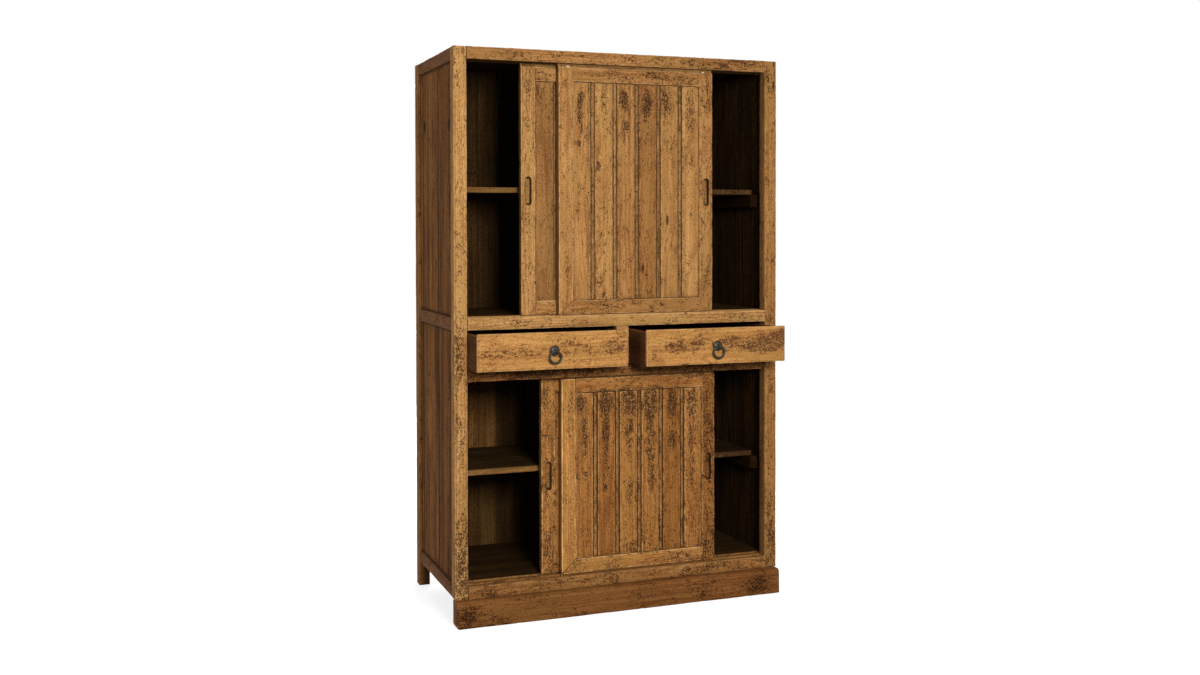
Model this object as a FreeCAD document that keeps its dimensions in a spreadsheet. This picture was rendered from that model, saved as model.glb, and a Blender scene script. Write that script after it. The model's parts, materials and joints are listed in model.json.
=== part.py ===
import FreeCAD, Part
import os
import re

# A mizuya kitchen cabinet: posts and rails, plank sides and back, four sliding doors, two drawers.
# X runs along the width, Y from the front posts' faces to the back, Z up from the floor.
# The origin is at floor level, in the middle of the width, on the line of the front posts' faces.

SIZES = {
    # Case
    "width": 1180,
    "depth": 580,
    "height": 1900,
    "post_width": 46,
    "post_depth": 46,
    "rear_post_width": 40,
    "rear_post_depth": 44,
    "front_rail_depth": 84,
    "top_rail_height": 42,
    "waist_rail_height": 41,
    "sill_height": 42,
    "plinth_height": 88,
    "plinth_depth": 60,
    "plinth_projection": 28,
    "plinth_rounding": 16,
    "lower_opening_height": 672,
    "drawer_opening_height": 128,
    "divider_width": 45,
    "divider_depth": 46,
    # Side, rear and floor members
    "side_rail_thickness": 30,
    "side_rail_height": 42,
    "side_rail_setback": 3,
    "rear_rail_thickness": 32,
    "side_board_thickness": 12,
    "side_board_setback": 11,
    "front_plank_width": 216,
    "middle_plank_width": 232,
    "plank_seam": 0.8,
    "back_board_thickness": 12,
    "back_plank_width": 183,
    "top_board_thickness": 14,
    "top_board_drop": 4,
    "floor_board_thickness": 12,
    "bearer_width": 20,
    "bearer_height": 20,
    "guide_height": 20,
    "housing_depth": 6,
    # Shelves
    "shelf_thickness": 19,
    "shelf_setback": 100,
    "shelf_bearing": 14,
    "shelf_rail_width": 38,
    "shelf_rail_height": 44,
    "upper_shelf_height": 432,
    "lower_shelf_height": 364,
    # Mortises and tenons
    "tenon_length": 28,
    "tenon_thickness": 14,
    "tenon_setback": 16,
    "tenon_shoulder": 6,
    "side_tenon_length": 13,
    "side_tenon_thickness": 12,
    "rear_tenon_length": 20,
    "rear_tenon_thickness": 10,
    "rear_tenon_setback": 12,
    "divider_tenon_length": 10,
    # Sliding doors
    "door_thickness": 32,
    "door_setback": 13,
    "door_gap": 4,
    "door_overlap": 50,
    "stile_width": 50,
    "door_rail_height": 48,
    "tongue_thickness": 16,
    "tongue_side_gap": 1,
    "tongue_lift": 0.3,
    "groove_depth": 5,
    "head_groove_depth": 12,
    "head_engagement": 6,
    "upper_head_gap": 10,
    "upper_foot_gap": 2,
    "lower_head_gap": 6,
    "lower_foot_gap": 6,
    "door_tenon_length": 30,
    "door_tenon_thickness": 10,
    "panel_sheet_thickness": 8,
    "panel_housing": 8,
    "raised_board_width": 62,
    "raised_board_thickness": 7,
    "raised_board_setback": 4,
    "bead_width": 11,
    "bead_thickness": 4,
    "recess_width": 21,
    "recess_length": 95,
    "recess_depth": 8,
    "upper_front_parked": 200,
    "upper_rear_parked": 198,
    "lower_front_parked": 192,
    "lower_rear_parked": 267,
    # Drawers
    "drawer_side_gap": 1.5,
    "drawer_foot_gap": 2,
    "drawer_front_height": 122.5,
    "drawer_front_thickness": 20,
    "drawer_side_thickness": 12,
    "drawer_side_height": 118,
    "drawer_lap": 8,
    "drawer_bottom_thickness": 8,
    "drawer_bottom_rise": 8,
    "drawer_bottom_housing": 5,
    "drawer_stop_gap": 0.5,
    "drawer_runner_gap": 0.3,
    "left_drawer_pulled": 112,
    "right_drawer_pulled": 155,
    # Ring pulls
    "boss_radius": 18,
    "boss_rise": 6,
    "eye_radius": 7.5,
    "eye_hole_radius": 4,
    "eye_width": 8,
    "eye_standoff": 13,
    "neck_radius": 3.5,
    "shank_radius": 3,
    "shank_end": 5,
    "nut_radius": 8,
    "nut_thickness": 3,
    "ring_radius": 19.75,
    "wire_radius": 3.25,
    "overrun": 5,
}

# Places worked out from the sizes.
PLACES = {
    "side_face": "width / 2",
    "post_inside": "side_face - post_width",
    "rear_post_inside": "side_face - rear_post_width",
    "rear_post_front": "depth - rear_post_depth",
    "opening_width": "2 * post_inside",
    "sill_top": "plinth_height + sill_height",
    "lower_head": "sill_top + lower_opening_height",
    "deck_top": "lower_head + waist_rail_height",
    "drawer_head": "deck_top + drawer_opening_height",
    "upper_sill": "drawer_head + waist_rail_height",
    "upper_head": "height - top_rail_height",
    "rail_outside": "side_face - side_rail_setback",
    "rail_inside": "rail_outside - side_rail_thickness",
    "board_outside": "side_face - side_board_setback",
    "board_inside": "board_outside - side_board_thickness",
    "side_rail_head": "height - side_rail_height",
    "side_waist_bottom": "upper_sill - side_rail_height",
    "side_bottom_top": "plinth_height + side_rail_height",
    "back_inside": "rear_post_front",
    "back_outside": "back_inside + back_board_thickness",
    "top_board_top": "height - top_board_drop",
    "top_board_bottom": "top_board_top - top_board_thickness",
    "door_width": "(opening_width + door_overlap) / 2",
    "rear_door_setback": "door_setback + door_thickness + door_gap",
    "tongue_setback": "(door_thickness - tongue_thickness) / 2",
    "shelf_end": "shelf_rail_inside + shelf_bearing",
    "shelf_rail_inside": "board_inside - shelf_rail_width",
    "upper_shelf_top": "upper_sill + upper_shelf_height",
    "lower_shelf_top": "sill_top + lower_shelf_height",
    "drawer_width": "post_inside - divider_width / 2 - 2 * drawer_side_gap",
    "drawer_length": "back_inside - drawer_stop_gap",
    "drawer_bottom": "deck_top + drawer_foot_gap",
    "drawer_top": "drawer_bottom + drawer_front_height",
    "ring_level": "drawer_bottom + drawer_front_height / 2",
}

doc = FreeCAD.newDocument("mizuya_cabinet")
sheet = doc.addObject("Spreadsheet::Sheet", "sizes")
for row, (alias, value) in enumerate(SIZES.items(), start=1):
    sheet.set(f"A{row}", alias)
    sheet.set(f"B{row}", str(value))
    sheet.setAlias(f"B{row}", alias)
doc.recompute()

nodes = []


def formula(text):
    """The text with each size's name made a reference to the sheet and each place written out."""

    def spelled(word):
        name = word.group()
        if name in PLACES:
            return "(" + formula(PLACES[name]) + ")"
        return "sizes." + name if name in SIZES else name

    return re.sub(r"[a-z_]+", spelled, text)


def block(name, x, y, z):
    """A squared timber between two places on each axis."""
    piece = doc.addObject("Part::Box", name)
    for side, (low, high) in zip(("Length", "Width", "Height"), (x, y, z)):
        piece.setExpression(side, formula(f"({high}) - ({low})"))
    for axis, (low, high) in zip("xyz", (x, y, z)):
        piece.setExpression(f"Placement.Base.{axis}", formula(low))
    return piece


TURNS = {
    "x": FreeCAD.Rotation(FreeCAD.Vector(0, 1, 0), 90),
    "y": FreeCAD.Rotation(FreeCAD.Vector(1, 0, 0), -90),
    "z": FreeCAD.Rotation(),
}


def turned(kind, name, along, start, **sizes):
    """A round piece whose own axis runs along x, y or z from its starting place."""
    piece = doc.addObject(kind, name)
    piece.Placement = FreeCAD.Placement(FreeCAD.Vector(), TURNS[along])
    for side, text in sizes.items():
        piece.setExpression(side, formula(text))
    for axis, text in zip("xyz", start):
        piece.setExpression(f"Placement.Base.{axis}", formula(text))
    return piece


def joined(name, *pieces):
    """Pieces that are one piece of wood or iron."""
    whole = doc.addObject("Part::MultiFuse", name)
    whole.Shapes = list(pieces)
    whole.Refine = True
    return whole


def cut(name, piece, *tools):
    """The piece with the room of each tool taken out."""
    tool = doc.addObject("Part::Compound", name + "_cutters")
    tool.Links = list(tools)
    rest = doc.addObject("Part::Cut", name)
    rest.Base = piece
    rest.Tool = tool
    rest.Refine = True
    return rest


def group(name, *pieces):
    """Separate like pieces that share one file."""
    together = doc.addObject("Part::Compound", name)
    together.Links = list(pieces)
    return together


def node(label, piece):
    """Names a finished sub-part, which is written to a file of that name."""
    piece.Label = label
    nodes.append(piece)
    return piece


def outward(side, near, far):
    """A stretch of X measured from the middle plane towards the left or the right."""
    return (near, far) if side == "right" else (f"-({far})", f"-({near})")


SIDES = ("left", "right")

# Envelopes of the boards, which the posts and rails are also grooved or rebated for.

def side_panel(name, side, level):
    """One framed side panel with its edges in the housings of the posts and rails."""
    low, high = {
        "upper": ("upper_sill", "side_rail_head"),
        "lower": ("side_bottom_top", "side_waist_bottom"),
    }[level]
    return block(
        name,
        outward(side, "board_inside", "board_outside"),
        ("post_depth - housing_depth", "rear_post_front + housing_depth"),
        (f"{low} - housing_depth", f"{high} + housing_depth"),
    )


def back_panel(name):
    """The back planks in the rebates of the rear posts."""
    reach = "rear_post_inside + housing_depth"
    return block(name, (f"-({reach})", reach), ("back_inside", "back_outside"), ("plinth_height", "top_board_bottom"))


def top_panel(name):
    """The top boards in the housings of the top rails."""
    reach = "rail_inside + housing_depth"
    return block(
        name,
        (f"-({reach})", reach),
        ("front_rail_depth - housing_depth", "back_outside + housing_depth"),
        ("top_board_bottom", "top_board_top"),
    )


# Front rails. Each spans the posts' inner faces, has a tenon in both posts, and grooves for the doors.

FRONT_RAILS = {
    "top_front_rail": ("upper_head", "height"),
    "upper_waist_rail": ("drawer_head", "upper_sill"),
    "lower_waist_rail": ("lower_head", "deck_top"),
    "sill_rail": ("plinth_height", "sill_top"),
}


def front_tenon(name, side, rail):
    """The tenon of a front rail in one front post."""
    low, high = FRONT_RAILS[rail]
    return block(
        name,
        outward(side, "post_inside", "post_inside + tenon_length"),
        ("tenon_setback", "tenon_setback + tenon_thickness"),
        (f"{low} + tenon_shoulder", f"{high} - tenon_shoulder"),
    )


def door_groove(name, track, low, high):
    """The groove that one door's tongue runs in, as long as the opening is wide."""
    start = f"{track} + tongue_setback - tongue_side_gap"
    return block(
        name,
        ("-post_inside", "post_inside"),
        (start, f"{start} + tongue_thickness + 2 * tongue_side_gap"),
        (low, high),
    )


TRACKS = {"front": "door_setback", "rear": "rear_door_setback"}
GROOVES = {
    "top_front_rail": ("upper_head", "upper_head + head_groove_depth"),
    "upper_waist_rail": ("upper_sill - groove_depth", "upper_sill"),
    "lower_waist_rail": ("lower_head", "lower_head + head_groove_depth"),
    "sill_rail": ("sill_top - groove_depth", "sill_top"),
}


def divider_tenon(name, low, high):
    """A tenon of the drawer divider in the rail above or below it."""
    return block(
        name,
        ("tenon_shoulder - divider_width / 2", "divider_width / 2 - tenon_shoulder"),
        ("tenon_setback", "tenon_setback + tenon_thickness"),
        (low, high),
    )


DIVIDER_TENONS = {
    "upper_waist_rail": ("drawer_head", "drawer_head + divider_tenon_length"),
    "lower_waist_rail": ("deck_top - divider_tenon_length", "deck_top"),
}


def ear(name, side, rail):
    """The end of a front rail behind its post, which reaches the side rails."""
    return block(
        name,
        outward(side, "post_inside", "rail_inside"),
        ("post_depth", "front_rail_depth"),
        FRONT_RAILS[rail],
    )


for rail, (low, high) in FRONT_RAILS.items():
    timber = joined(
        rail + "_timber",
        block(rail + "_body", ("-post_inside", "post_inside"), ("0", "front_rail_depth"), (low, high)),
        *[front_tenon(f"{rail}_{side}_tenon", side, rail) for side in SIDES],
        *[ear(f"{rail}_{side}_ear", side, rail) for side in SIDES],
    )
    cuts = [door_groove(f"{rail}_{track}_groove", place, *GROOVES[rail]) for track, place in TRACKS.items()]
    if rail in DIVIDER_TENONS:
        cuts.append(divider_tenon(rail + "_mortise", *DIVIDER_TENONS[rail]))
    if rail == "top_front_rail":
        cuts.append(top_panel(rail + "_housing"))
    node(rail, cut(rail + "_cut", timber, *cuts))

# The divider between the drawers is tenoned into the two waist rails.

node(
    "drawer_divider",
    joined(
        "divider",
        block(
            "divider_body",
            ("-divider_width / 2", "divider_width / 2"),
            ("0", "divider_depth"),
            ("deck_top", "drawer_head"),
        ),
        *[divider_tenon(f"divider_{rail}_tenon", *reach) for rail, reach in DIVIDER_TENONS.items()],
    ),
)

# The plinth beam under the front posts and the sill, with its upper front edge rounded.

plinth_face = "-plinth_projection"
plinth_rear = "plinth_depth - plinth_projection"
node(
    "plinth_beam",
    joined(
        "plinth",
        block(
            "plinth_base",
            ("-side_face", "side_face"),
            (plinth_face, plinth_rear),
            ("0", "plinth_height - plinth_rounding"),
        ),
        block(
            "plinth_crown",
            ("-side_face", "side_face"),
            ("plinth_rounding - plinth_projection", plinth_rear),
            ("0", "plinth_height"),
        ),
        turned(
            "Part::Cylinder",
            "plinth_round",
            "x",
            ("-side_face", "plinth_rounding - plinth_projection", "plinth_height - plinth_rounding"),
            Radius="plinth_rounding",
            Height="width",
        ),
    ),
)

# Side rails between the front and the rear post, three on each side, with tenons front and rear.

SIDE_RAILS = {
    "top": ("side_rail_head", "height"),
    "waist": ("side_waist_bottom", "upper_sill"),
    "bottom": ("plinth_height", "side_bottom_top"),
}


def side_tenons(name, side, rail):
    """The two tenons of a side rail, one in the front post and one in the rear post."""
    low, high = SIDE_RAILS[rail]
    cheek = "(side_rail_thickness - side_tenon_thickness) / 2"
    reaches = {
        "front": ("post_depth - side_tenon_length", "post_depth"),
        "rear": ("rear_post_front", "rear_post_front + side_tenon_length"),
    }
    return [
        block(
            f"{name}_{end}",
            outward(side, f"rail_inside + {cheek}", f"rail_outside - {cheek}"),
            reach,
            (f"{low} + tenon_shoulder", f"{high} - tenon_shoulder"),
        )
        for end, reach in reaches.items()
    ]


for side in SIDES:
    for rail, (low, high) in SIDE_RAILS.items():
        name = f"{side}_{rail}_rail"
        timber = joined(
            name + "_timber",
            block(
                name + "_body",
                outward(side, "rail_inside", "rail_outside"),
                ("post_depth", "rear_post_front"),
                (low, high),
            ),
            *side_tenons(name + "_tenon", side, rail),
        )
        housings = [side_panel(f"{name}_{level}_housing", side, level) for level in ("upper", "lower")]
        if rail == "top":
            housings.append(top_panel(name + "_top_housing"))
        node(name, cut(name + "_cut", timber, *housings))

# Rear rails behind the back planks, at the top, the waist and the bottom.

REAR_RAILS = {
    "top": ("upper_head", "height"),
    "waist": ("drawer_head", "upper_sill"),
    "bottom": ("plinth_height", "sill_top"),
}


def rear_tenon(name, side, rail):
    """The tenon of a rear rail in one rear post."""
    low, high = REAR_RAILS[rail]
    return block(
        name,
        outward(side, "rear_post_inside", "rear_post_inside + rear_tenon_length"),
        ("back_outside + rear_tenon_setback", "back_outside + rear_tenon_setback + rear_tenon_thickness"),
        (f"{low} + tenon_shoulder", f"{high} - tenon_shoulder"),
    )


rear_rails = []
for rail, (low, high) in REAR_RAILS.items():
    timber = joined(
        f"rear_{rail}_timber",
        block(f"rear_{rail}_body", ("-rear_post_inside", "rear_post_inside"), ("back_outside", "depth"), (low, high)),
        *[rear_tenon(f"rear_{rail}_{side}_tenon", side, rail) for side in SIDES],
    )
    rear_rails.append(cut(f"rear_{rail}_cut", timber, top_panel(f"rear_{rail}_housing")) if rail == "top" else timber)
node("rear_rails", group("rear_rail_group", *rear_rails))

# Posts, mortised for every rail and grooved for the boards.

for side in SIDES:
    post = block(
        f"front_{side}_stick",
        outward(side, "post_inside", "side_face"),
        ("0", "post_depth"),
        ("plinth_height", "height"),
    )
    mortises = [front_tenon(f"front_{side}_{rail}_mortise", side, rail) for rail in FRONT_RAILS]
    for rail in SIDE_RAILS:
        mortises += side_tenons(f"front_{side}_{rail}_mortise", side, rail)[:1]
    mortises += [side_panel(f"front_{side}_{level}_slot", side, level) for level in ("upper", "lower")]
    node(f"front_{side}_post", cut(f"front_{side}_post_cut", post, *mortises))

for side in SIDES:
    post = block(
        f"rear_{side}_stick",
        outward(side, "rear_post_inside", "side_face"),
        ("rear_post_front", "depth"),
        ("0", "height"),
    )
    mortises = [rear_tenon(f"rear_{side}_{rail}_mortise", side, rail) for rail in REAR_RAILS]
    for rail in SIDE_RAILS:
        mortises += side_tenons(f"rear_{side}_{rail}_side_mortise", side, rail)[1:]
    mortises += [side_panel(f"rear_{side}_{level}_slot", side, level) for level in ("upper", "lower")]
    mortises += [back_panel(f"rear_{side}_back_rebate"), top_panel(f"rear_{side}_top_notch")]
    node(f"rear_{side}_post", cut(f"rear_{side}_post_cut", post, *mortises))

# Planks of the sides: three in each framed panel, with an open seam between neighbours.

for side in SIDES:
    panels = []
    for level in ("upper", "lower"):
        name = f"{side}_{level}_panel"
        seams = []
        for seam, place in {
            "front": "post_depth + front_plank_width",
            "rear": "post_depth + front_plank_width + middle_plank_width",
        }.items():
            seams.append(
                block(
                    f"{name}_{seam}_seam",
                    outward(side, "board_inside - overrun", "board_outside + overrun"),
                    (place, f"{place} + plank_seam"),
                    ("0", "height"),
                )
            )
        panels.append(cut(f"{name}_planks", side_panel(name, side, level), *seams))
    node(f"{side}_side_planks", group(f"{side}_side_plank_group", *panels))

# Planks of the back, six side by side.

BACK_SEAM_SHARES = (-2, -1, 0, 1, 2)
seams = []
for number, share in enumerate(BACK_SEAM_SHARES):
    place = f"({share}) * back_plank_width"
    seams.append(
        block(
            f"back_seam_{number}",
            (f"{place} - plank_seam / 2", f"{place} + plank_seam / 2"),
            ("back_inside - overrun", "back_outside + overrun"),
            ("0", "height"),
        )
    )
node("back_planks", cut("back_plank_cut", back_panel("back_sheet"), *seams))

# Top boards, let into the top rails all round.

node("top_boards", top_panel("top_sheet"))

# Floors: boards from the rail in front to the back planks, on battens along both sides.


def floor(name, top, reach):
    """The boards of one floor, whose upper face lies level with the rail in front."""
    return block(
        name,
        (f"-({reach})", reach),
        ("front_rail_depth", "back_inside"),
        (f"{top} - floor_board_thickness", top),
    )


def bearer(name, side, top, reach):
    """The batten that carries one end of a floor."""
    return block(
        name,
        outward(side, f"{reach} - bearer_width", reach),
        ("front_rail_depth", "back_inside"),
        (f"{top} - floor_board_thickness - bearer_height", f"{top} - floor_board_thickness"),
    )


FLOORS = {
    "upper_floor_boards": ("upper_sill", "rail_inside"),
    "drawer_deck_boards": ("deck_top", "board_inside"),
    "lower_floor_boards": ("sill_top", "rail_inside"),
}
bearers = []
for label, (top, reach) in FLOORS.items():
    node(label, floor(label + "_sheet", top, reach))
    bearers += [bearer(f"{label}_{side}_bearer", side, top, reach) for side in SIDES]
node("floor_bearers", group("floor_bearer_group", *bearers))

# Guide battens on the drawer deck: one at each side and a wide one between the drawers.

guide_run = (("front_rail_depth", "back_inside"), ("deck_top", "deck_top + guide_height"))
guides = [block(f"{side}_guide", outward(side, "post_inside", "board_inside"), *guide_run) for side in SIDES]
guides.append(block("middle_guide", ("-divider_width / 2", "divider_width / 2"), *guide_run))
node("drawer_guides", group("drawer_guide_group", *guides))

# Shelves, each on a pair of rails along the side planks, which start behind the doors' grooves.

SHELVES = {"upper_shelf": "upper_shelf_top", "lower_shelf": "lower_shelf_top"}
shelf_rails = []
for label, top in SHELVES.items():
    node(
        label,
        block(
            label + "_board",
            ("-shelf_end", "shelf_end"),
            ("shelf_setback", "back_inside"),
            (f"{top} - shelf_thickness", top),
        ),
    )
    for side in SIDES:
        shelf_rails.append(
            block(
                f"{label}_{side}_rail",
                outward(side, "shelf_rail_inside", "board_inside"),
                ("front_rail_depth", "rear_post_front"),
                (f"{top} - shelf_thickness - shelf_rail_height", f"{top} - shelf_thickness"),
            )
        )
node("shelf_rails", group("shelf_rail_group", *shelf_rails))

# Sliding doors. The left pair's doors run in the rear grooves and have their pull at the left,
# the right pair's run in the front grooves and have their pull at the right.

LEVELS = {"upper": ("upper_sill", "upper_head"), "lower": ("sill_top", "lower_head")}
BOARD_COUNT = 6


def door(level, track):
    """One door: two stiles, two rails and a panel of raised boards and beads."""
    name = f"{level}_{track}_door"
    face = TRACKS[track]
    opening_foot, opening_head = LEVELS[level]
    foot = f"{opening_foot} + {level}_foot_gap"
    head = f"{opening_head} - {level}_head_gap"
    parked = f"{level}_{track}_parked"
    left = f"-post_inside + {parked}" if track == "rear" else f"post_inside - door_width - {parked}"
    right = f"{left} + door_width"
    whole = (face, f"{face} + door_thickness")
    tongue = (f"{face} + tongue_setback", f"{face} + tongue_setback + tongue_thickness")
    tongue_foot = f"{opening_foot} - groove_depth + tongue_lift"
    tongue_head = f"{opening_head} + head_engagement"
    rail_foot = f"{foot} + door_rail_height"
    rail_head = f"{head} - door_rail_height"
    board_face = f"{face} + raised_board_setback"
    sheet_face = f"{board_face} + raised_board_thickness"

    def sheet(part):
        """The thin sheet behind the boards, with its edges in the frame's grooves."""
        return block(
            f"{name}_{part}_sheet",
            (f"{left} + stile_width - panel_housing", f"{right} - stile_width + panel_housing"),
            (sheet_face, f"{sheet_face} + panel_sheet_thickness"),
            (f"{rail_foot} - panel_housing", f"{rail_head} + panel_housing"),
        )

    def rail_tenon(part, rail, side):
        """The tenon of one rail in one stile."""
        low, high = {"top": (rail_head, head), "bottom": (foot, rail_foot)}[rail]
        near = f"{left} + stile_width" if side == "left" else f"{right} - stile_width"
        far = f"{near} - door_tenon_length" if side == "left" else f"{near} + door_tenon_length"
        cheek = "(door_thickness - door_tenon_thickness) / 2"
        return block(
            f"{name}_{part}_{rail}_tenon",
            (far, near) if side == "left" else (near, far),
            (f"{face} + {cheek}", f"{face} + door_thickness - {cheek}"),
            (f"{low} + panel_housing", f"{high} - panel_housing"),
        )

    def finger_recess(part, middle):
        """The oblong recess with round ends, cut into the pull stile's face."""
        level_middle = f"({foot} + {head}) / 2"
        straight = "(recess_length - recess_width) / 2"
        depths = (f"{face} - overrun", f"{face} + recess_depth")
        ends = [
            turned(
                "Part::Cylinder",
                f"{name}_{part}_end_{number}",
                "y",
                (middle, depths[0], f"{level_middle} + ({sign}) * {straight}"),
                Radius="recess_width / 2",
                Height="recess_depth + overrun",
            )
            for number, sign in enumerate((-1, 1))
        ]
        middle_cut = block(
            f"{name}_{part}_middle",
            (f"{middle} - recess_width / 2", f"{middle} + recess_width / 2"),
            depths,
            (f"{level_middle} - {straight}", f"{level_middle} + {straight}"),
        )
        return joined(f"{name}_{part}", middle_cut, *ends)

    pull_side = "left" if track == "rear" else "right"
    for side in SIDES:
        part = "pull_stile" if side == pull_side else "plain_stile"
        across = (left, f"{left} + stile_width") if side == "left" else (f"{right} - stile_width", right)
        timber = joined(
            f"{name}_{part}_timber",
            block(f"{name}_{part}_body", across, whole, (foot, head)),
            block(f"{name}_{part}_tongue", across, tongue, (tongue_foot, tongue_head)),
        )
        cuts = [sheet(part)] + [rail_tenon(part, rail, side) for rail in ("top", "bottom")]
        if side == pull_side:
            cuts.append(finger_recess(part + "_recess", f"({across[0]} + {across[1]}) / 2"))
        node(f"{name}_{part}", cut(f"{name}_{part}_cut", timber, *cuts))

    across = (f"{left} + stile_width", f"{right} - stile_width")
    rails = {
        "top": ((rail_head, head), (rail_head, tongue_head)),
        "bottom": ((foot, rail_foot), (tongue_foot, rail_foot)),
    }
    for rail, (body, with_tongue) in rails.items():
        part = rail + "_rail"
        timber = joined(
            f"{name}_{part}_timber",
            block(f"{name}_{part}_body", across, whole, body),
            block(f"{name}_{part}_tongue", across, tongue, with_tongue),
            *[rail_tenon(f"{part}_{side}", rail, side) for side in SIDES],
        )
        node(f"{name}_{part}", cut(f"{name}_{part}_cut", timber, sheet(part)))

    boards = []
    inside_left = f"{left} + stile_width"
    board_step = f"(door_width - 2 * stile_width - raised_board_width) / {BOARD_COUNT - 1}"
    for number in range(BOARD_COUNT):
        start = f"{inside_left} + {number} * {board_step}"
        boards.append(
            block(
                f"{name}_board_{number}",
                (start, f"{start} + raised_board_width"),
                (board_face, sheet_face),
                (rail_foot, rail_head),
            )
        )
    for number in range(BOARD_COUNT - 1):
        middle = f"{inside_left} + raised_board_width / 2 + ({number} + 1 / 2) * {board_step}"
        boards.append(
            block(
                f"{name}_bead_{number}",
                (f"{middle} - bead_width / 2", f"{middle} + bead_width / 2"),
                (f"{sheet_face} - bead_thickness", sheet_face),
                (rail_foot, rail_head),
            )
        )
    node(f"{name}_panel", joined(f"{name}_panel_whole", sheet("panel"), *boards))


for level in LEVELS:
    for track in TRACKS:
        door(level, track)

# Drawers. Each front is rebated at both ends for the sides, and the bottom board slides in grooves.


def drawer(side):
    """One drawer with its iron boss, eye and ring."""
    name = f"{side}_drawer"
    face = f"-{side}_drawer_pulled"
    near = "divider_width / 2 + drawer_side_gap"
    left, right = outward(side, near, f"{near} + drawer_width")
    back = f"{face} + drawer_length"
    side_foot = "deck_top + drawer_runner_gap"
    side_head = f"{side_foot} + drawer_side_height"
    bottom_foot = f"{side_foot} + drawer_bottom_rise"
    behind_front = f"{face} + drawer_front_thickness"
    middle = f"({left} + {right}) / 2"

    def bottom_sheet(part):
        """The bottom board with its edges in the grooves of the front, the sides and the back."""
        inset = "drawer_side_thickness - drawer_bottom_housing"
        return block(
            f"{name}_{part}",
            (f"{left} + {inset}", f"{right} - ({inset})"),
            (f"{behind_front} - drawer_bottom_housing", f"{back} - ({inset})"),
            (bottom_foot, f"{bottom_foot} + drawer_bottom_thickness"),
        )

    def wall(part, hand):
        """One side of the drawer, lapped into the rebate at the end of the front."""
        across = {
            "left": (left, f"{left} + drawer_side_thickness"),
            "right": (f"{right} - drawer_side_thickness", right),
        }[hand]
        return block(
            f"{name}_{part}_{hand}_wall",
            across,
            (f"{behind_front} - drawer_lap", back),
            (side_foot, side_head),
        )

    def shank(part):
        """The shank of the boss, which goes through the front to the nut behind it."""
        return turned(
            "Part::Cylinder",
            f"{name}_{part}_shank",
            "y",
            (middle, face, "ring_level"),
            Radius="shank_radius",
            Height="drawer_front_thickness + nut_thickness + shank_end",
        )

    front = block(f"{name}_front_board", (left, right), (face, behind_front), ("drawer_bottom", "drawer_top"))
    cuts = [wall("front", hand) for hand in SIDES] + [bottom_sheet("front_groove"), shank("front_hole")]
    node(f"{name}_front", cut(f"{name}_front_cut", front, *cuts))

    walls = [cut(f"{name}_{hand}_wall_cut", wall("wall", hand), bottom_sheet(f"{hand}_groove")) for hand in SIDES]
    rear_wall = block(
        f"{name}_rear_wall",
        (f"{left} + drawer_side_thickness", f"{right} - drawer_side_thickness"),
        (f"{back} - drawer_side_thickness", back),
        (side_foot, side_head),
    )
    walls.append(cut(f"{name}_rear_wall_cut", rear_wall, bottom_sheet("rear_groove")))
    node(f"{name}_walls", group(f"{name}_wall_group", *walls))
    node(f"{name}_bottom", bottom_sheet("bottom_board"))

    # The boss is a domed cap, with an eye on a short neck and a shank with its nut behind the front.
    cap_radius = "(boss_radius ^ 2 + boss_rise ^ 2) / (2 * boss_rise)"
    dome = turned(
        "Part::Sphere",
        f"{name}_dome",
        "y",
        (middle, f"{face} - boss_rise + {cap_radius}", "ring_level"),
        Radius=cap_radius,
        Angle2=f"-asin(({cap_radius} - boss_rise) / ({cap_radius}))",
    )
    dome.Angle1 = -90
    eye_place = f"{face} - eye_standoff"
    neck = turned(
        "Part::Cylinder",
        f"{name}_neck",
        "y",
        (middle, eye_place, "ring_level"),
        Radius="neck_radius",
        Height="eye_standoff",
    )
    eye = turned(
        "Part::Cylinder",
        f"{name}_eye",
        "x",
        (f"{middle} - eye_width / 2", eye_place, "ring_level"),
        Radius="eye_radius",
        Height="eye_width",
    )
    nut = turned(
        "Part::Cylinder",
        f"{name}_nut",
        "y",
        (middle, behind_front, "ring_level"),
        Radius="nut_radius",
        Height="nut_thickness",
    )
    hole = turned(
        "Part::Cylinder",
        f"{name}_eye_hole",
        "x",
        (f"{middle} - eye_width / 2 - overrun", eye_place, "ring_level"),
        Radius="eye_hole_radius",
        Height="eye_width + 2 * overrun",
    )
    iron = joined(f"{name}_boss_iron", dome, neck, eye, shank("boss"), nut)
    node(f"{name}_boss", cut(f"{name}_boss_cut", iron, hole))

    # The ring hangs from the eye with the top of its wire on the eye's axis.
    node(
        f"{name}_ring",
        turned(
            "Part::Torus",
            f"{name}_ring_wire",
            "y",
            (middle, eye_place, "ring_level - ring_radius"),
            Radius1="ring_radius",
            Radius2="wire_radius",
        ),
    )


for side in SIDES:
    drawer(side)

# Every sub-part is checked before anything is written.

doc.recompute()
for piece in doc.Objects:
    if "Invalid" in piece.State or "Error" in piece.State:
        raise RuntimeError(f"{piece.Name} failed: {piece.State}")
for piece in nodes:
    if piece.Shape.isNull() or not piece.Shape.isValid() or not piece.Shape.Solids:
        raise RuntimeError(f"{piece.Label} has no valid solid")

os.makedirs("parts", exist_ok=True)
for piece in nodes:
    piece.Shape.exportStep(f"parts/{piece.Label}.step")
print(len(nodes), "sub-parts written")
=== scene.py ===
import json
import math
import random

import bmesh
import bpy
from mathutils import Matrix, Vector, noise

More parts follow.
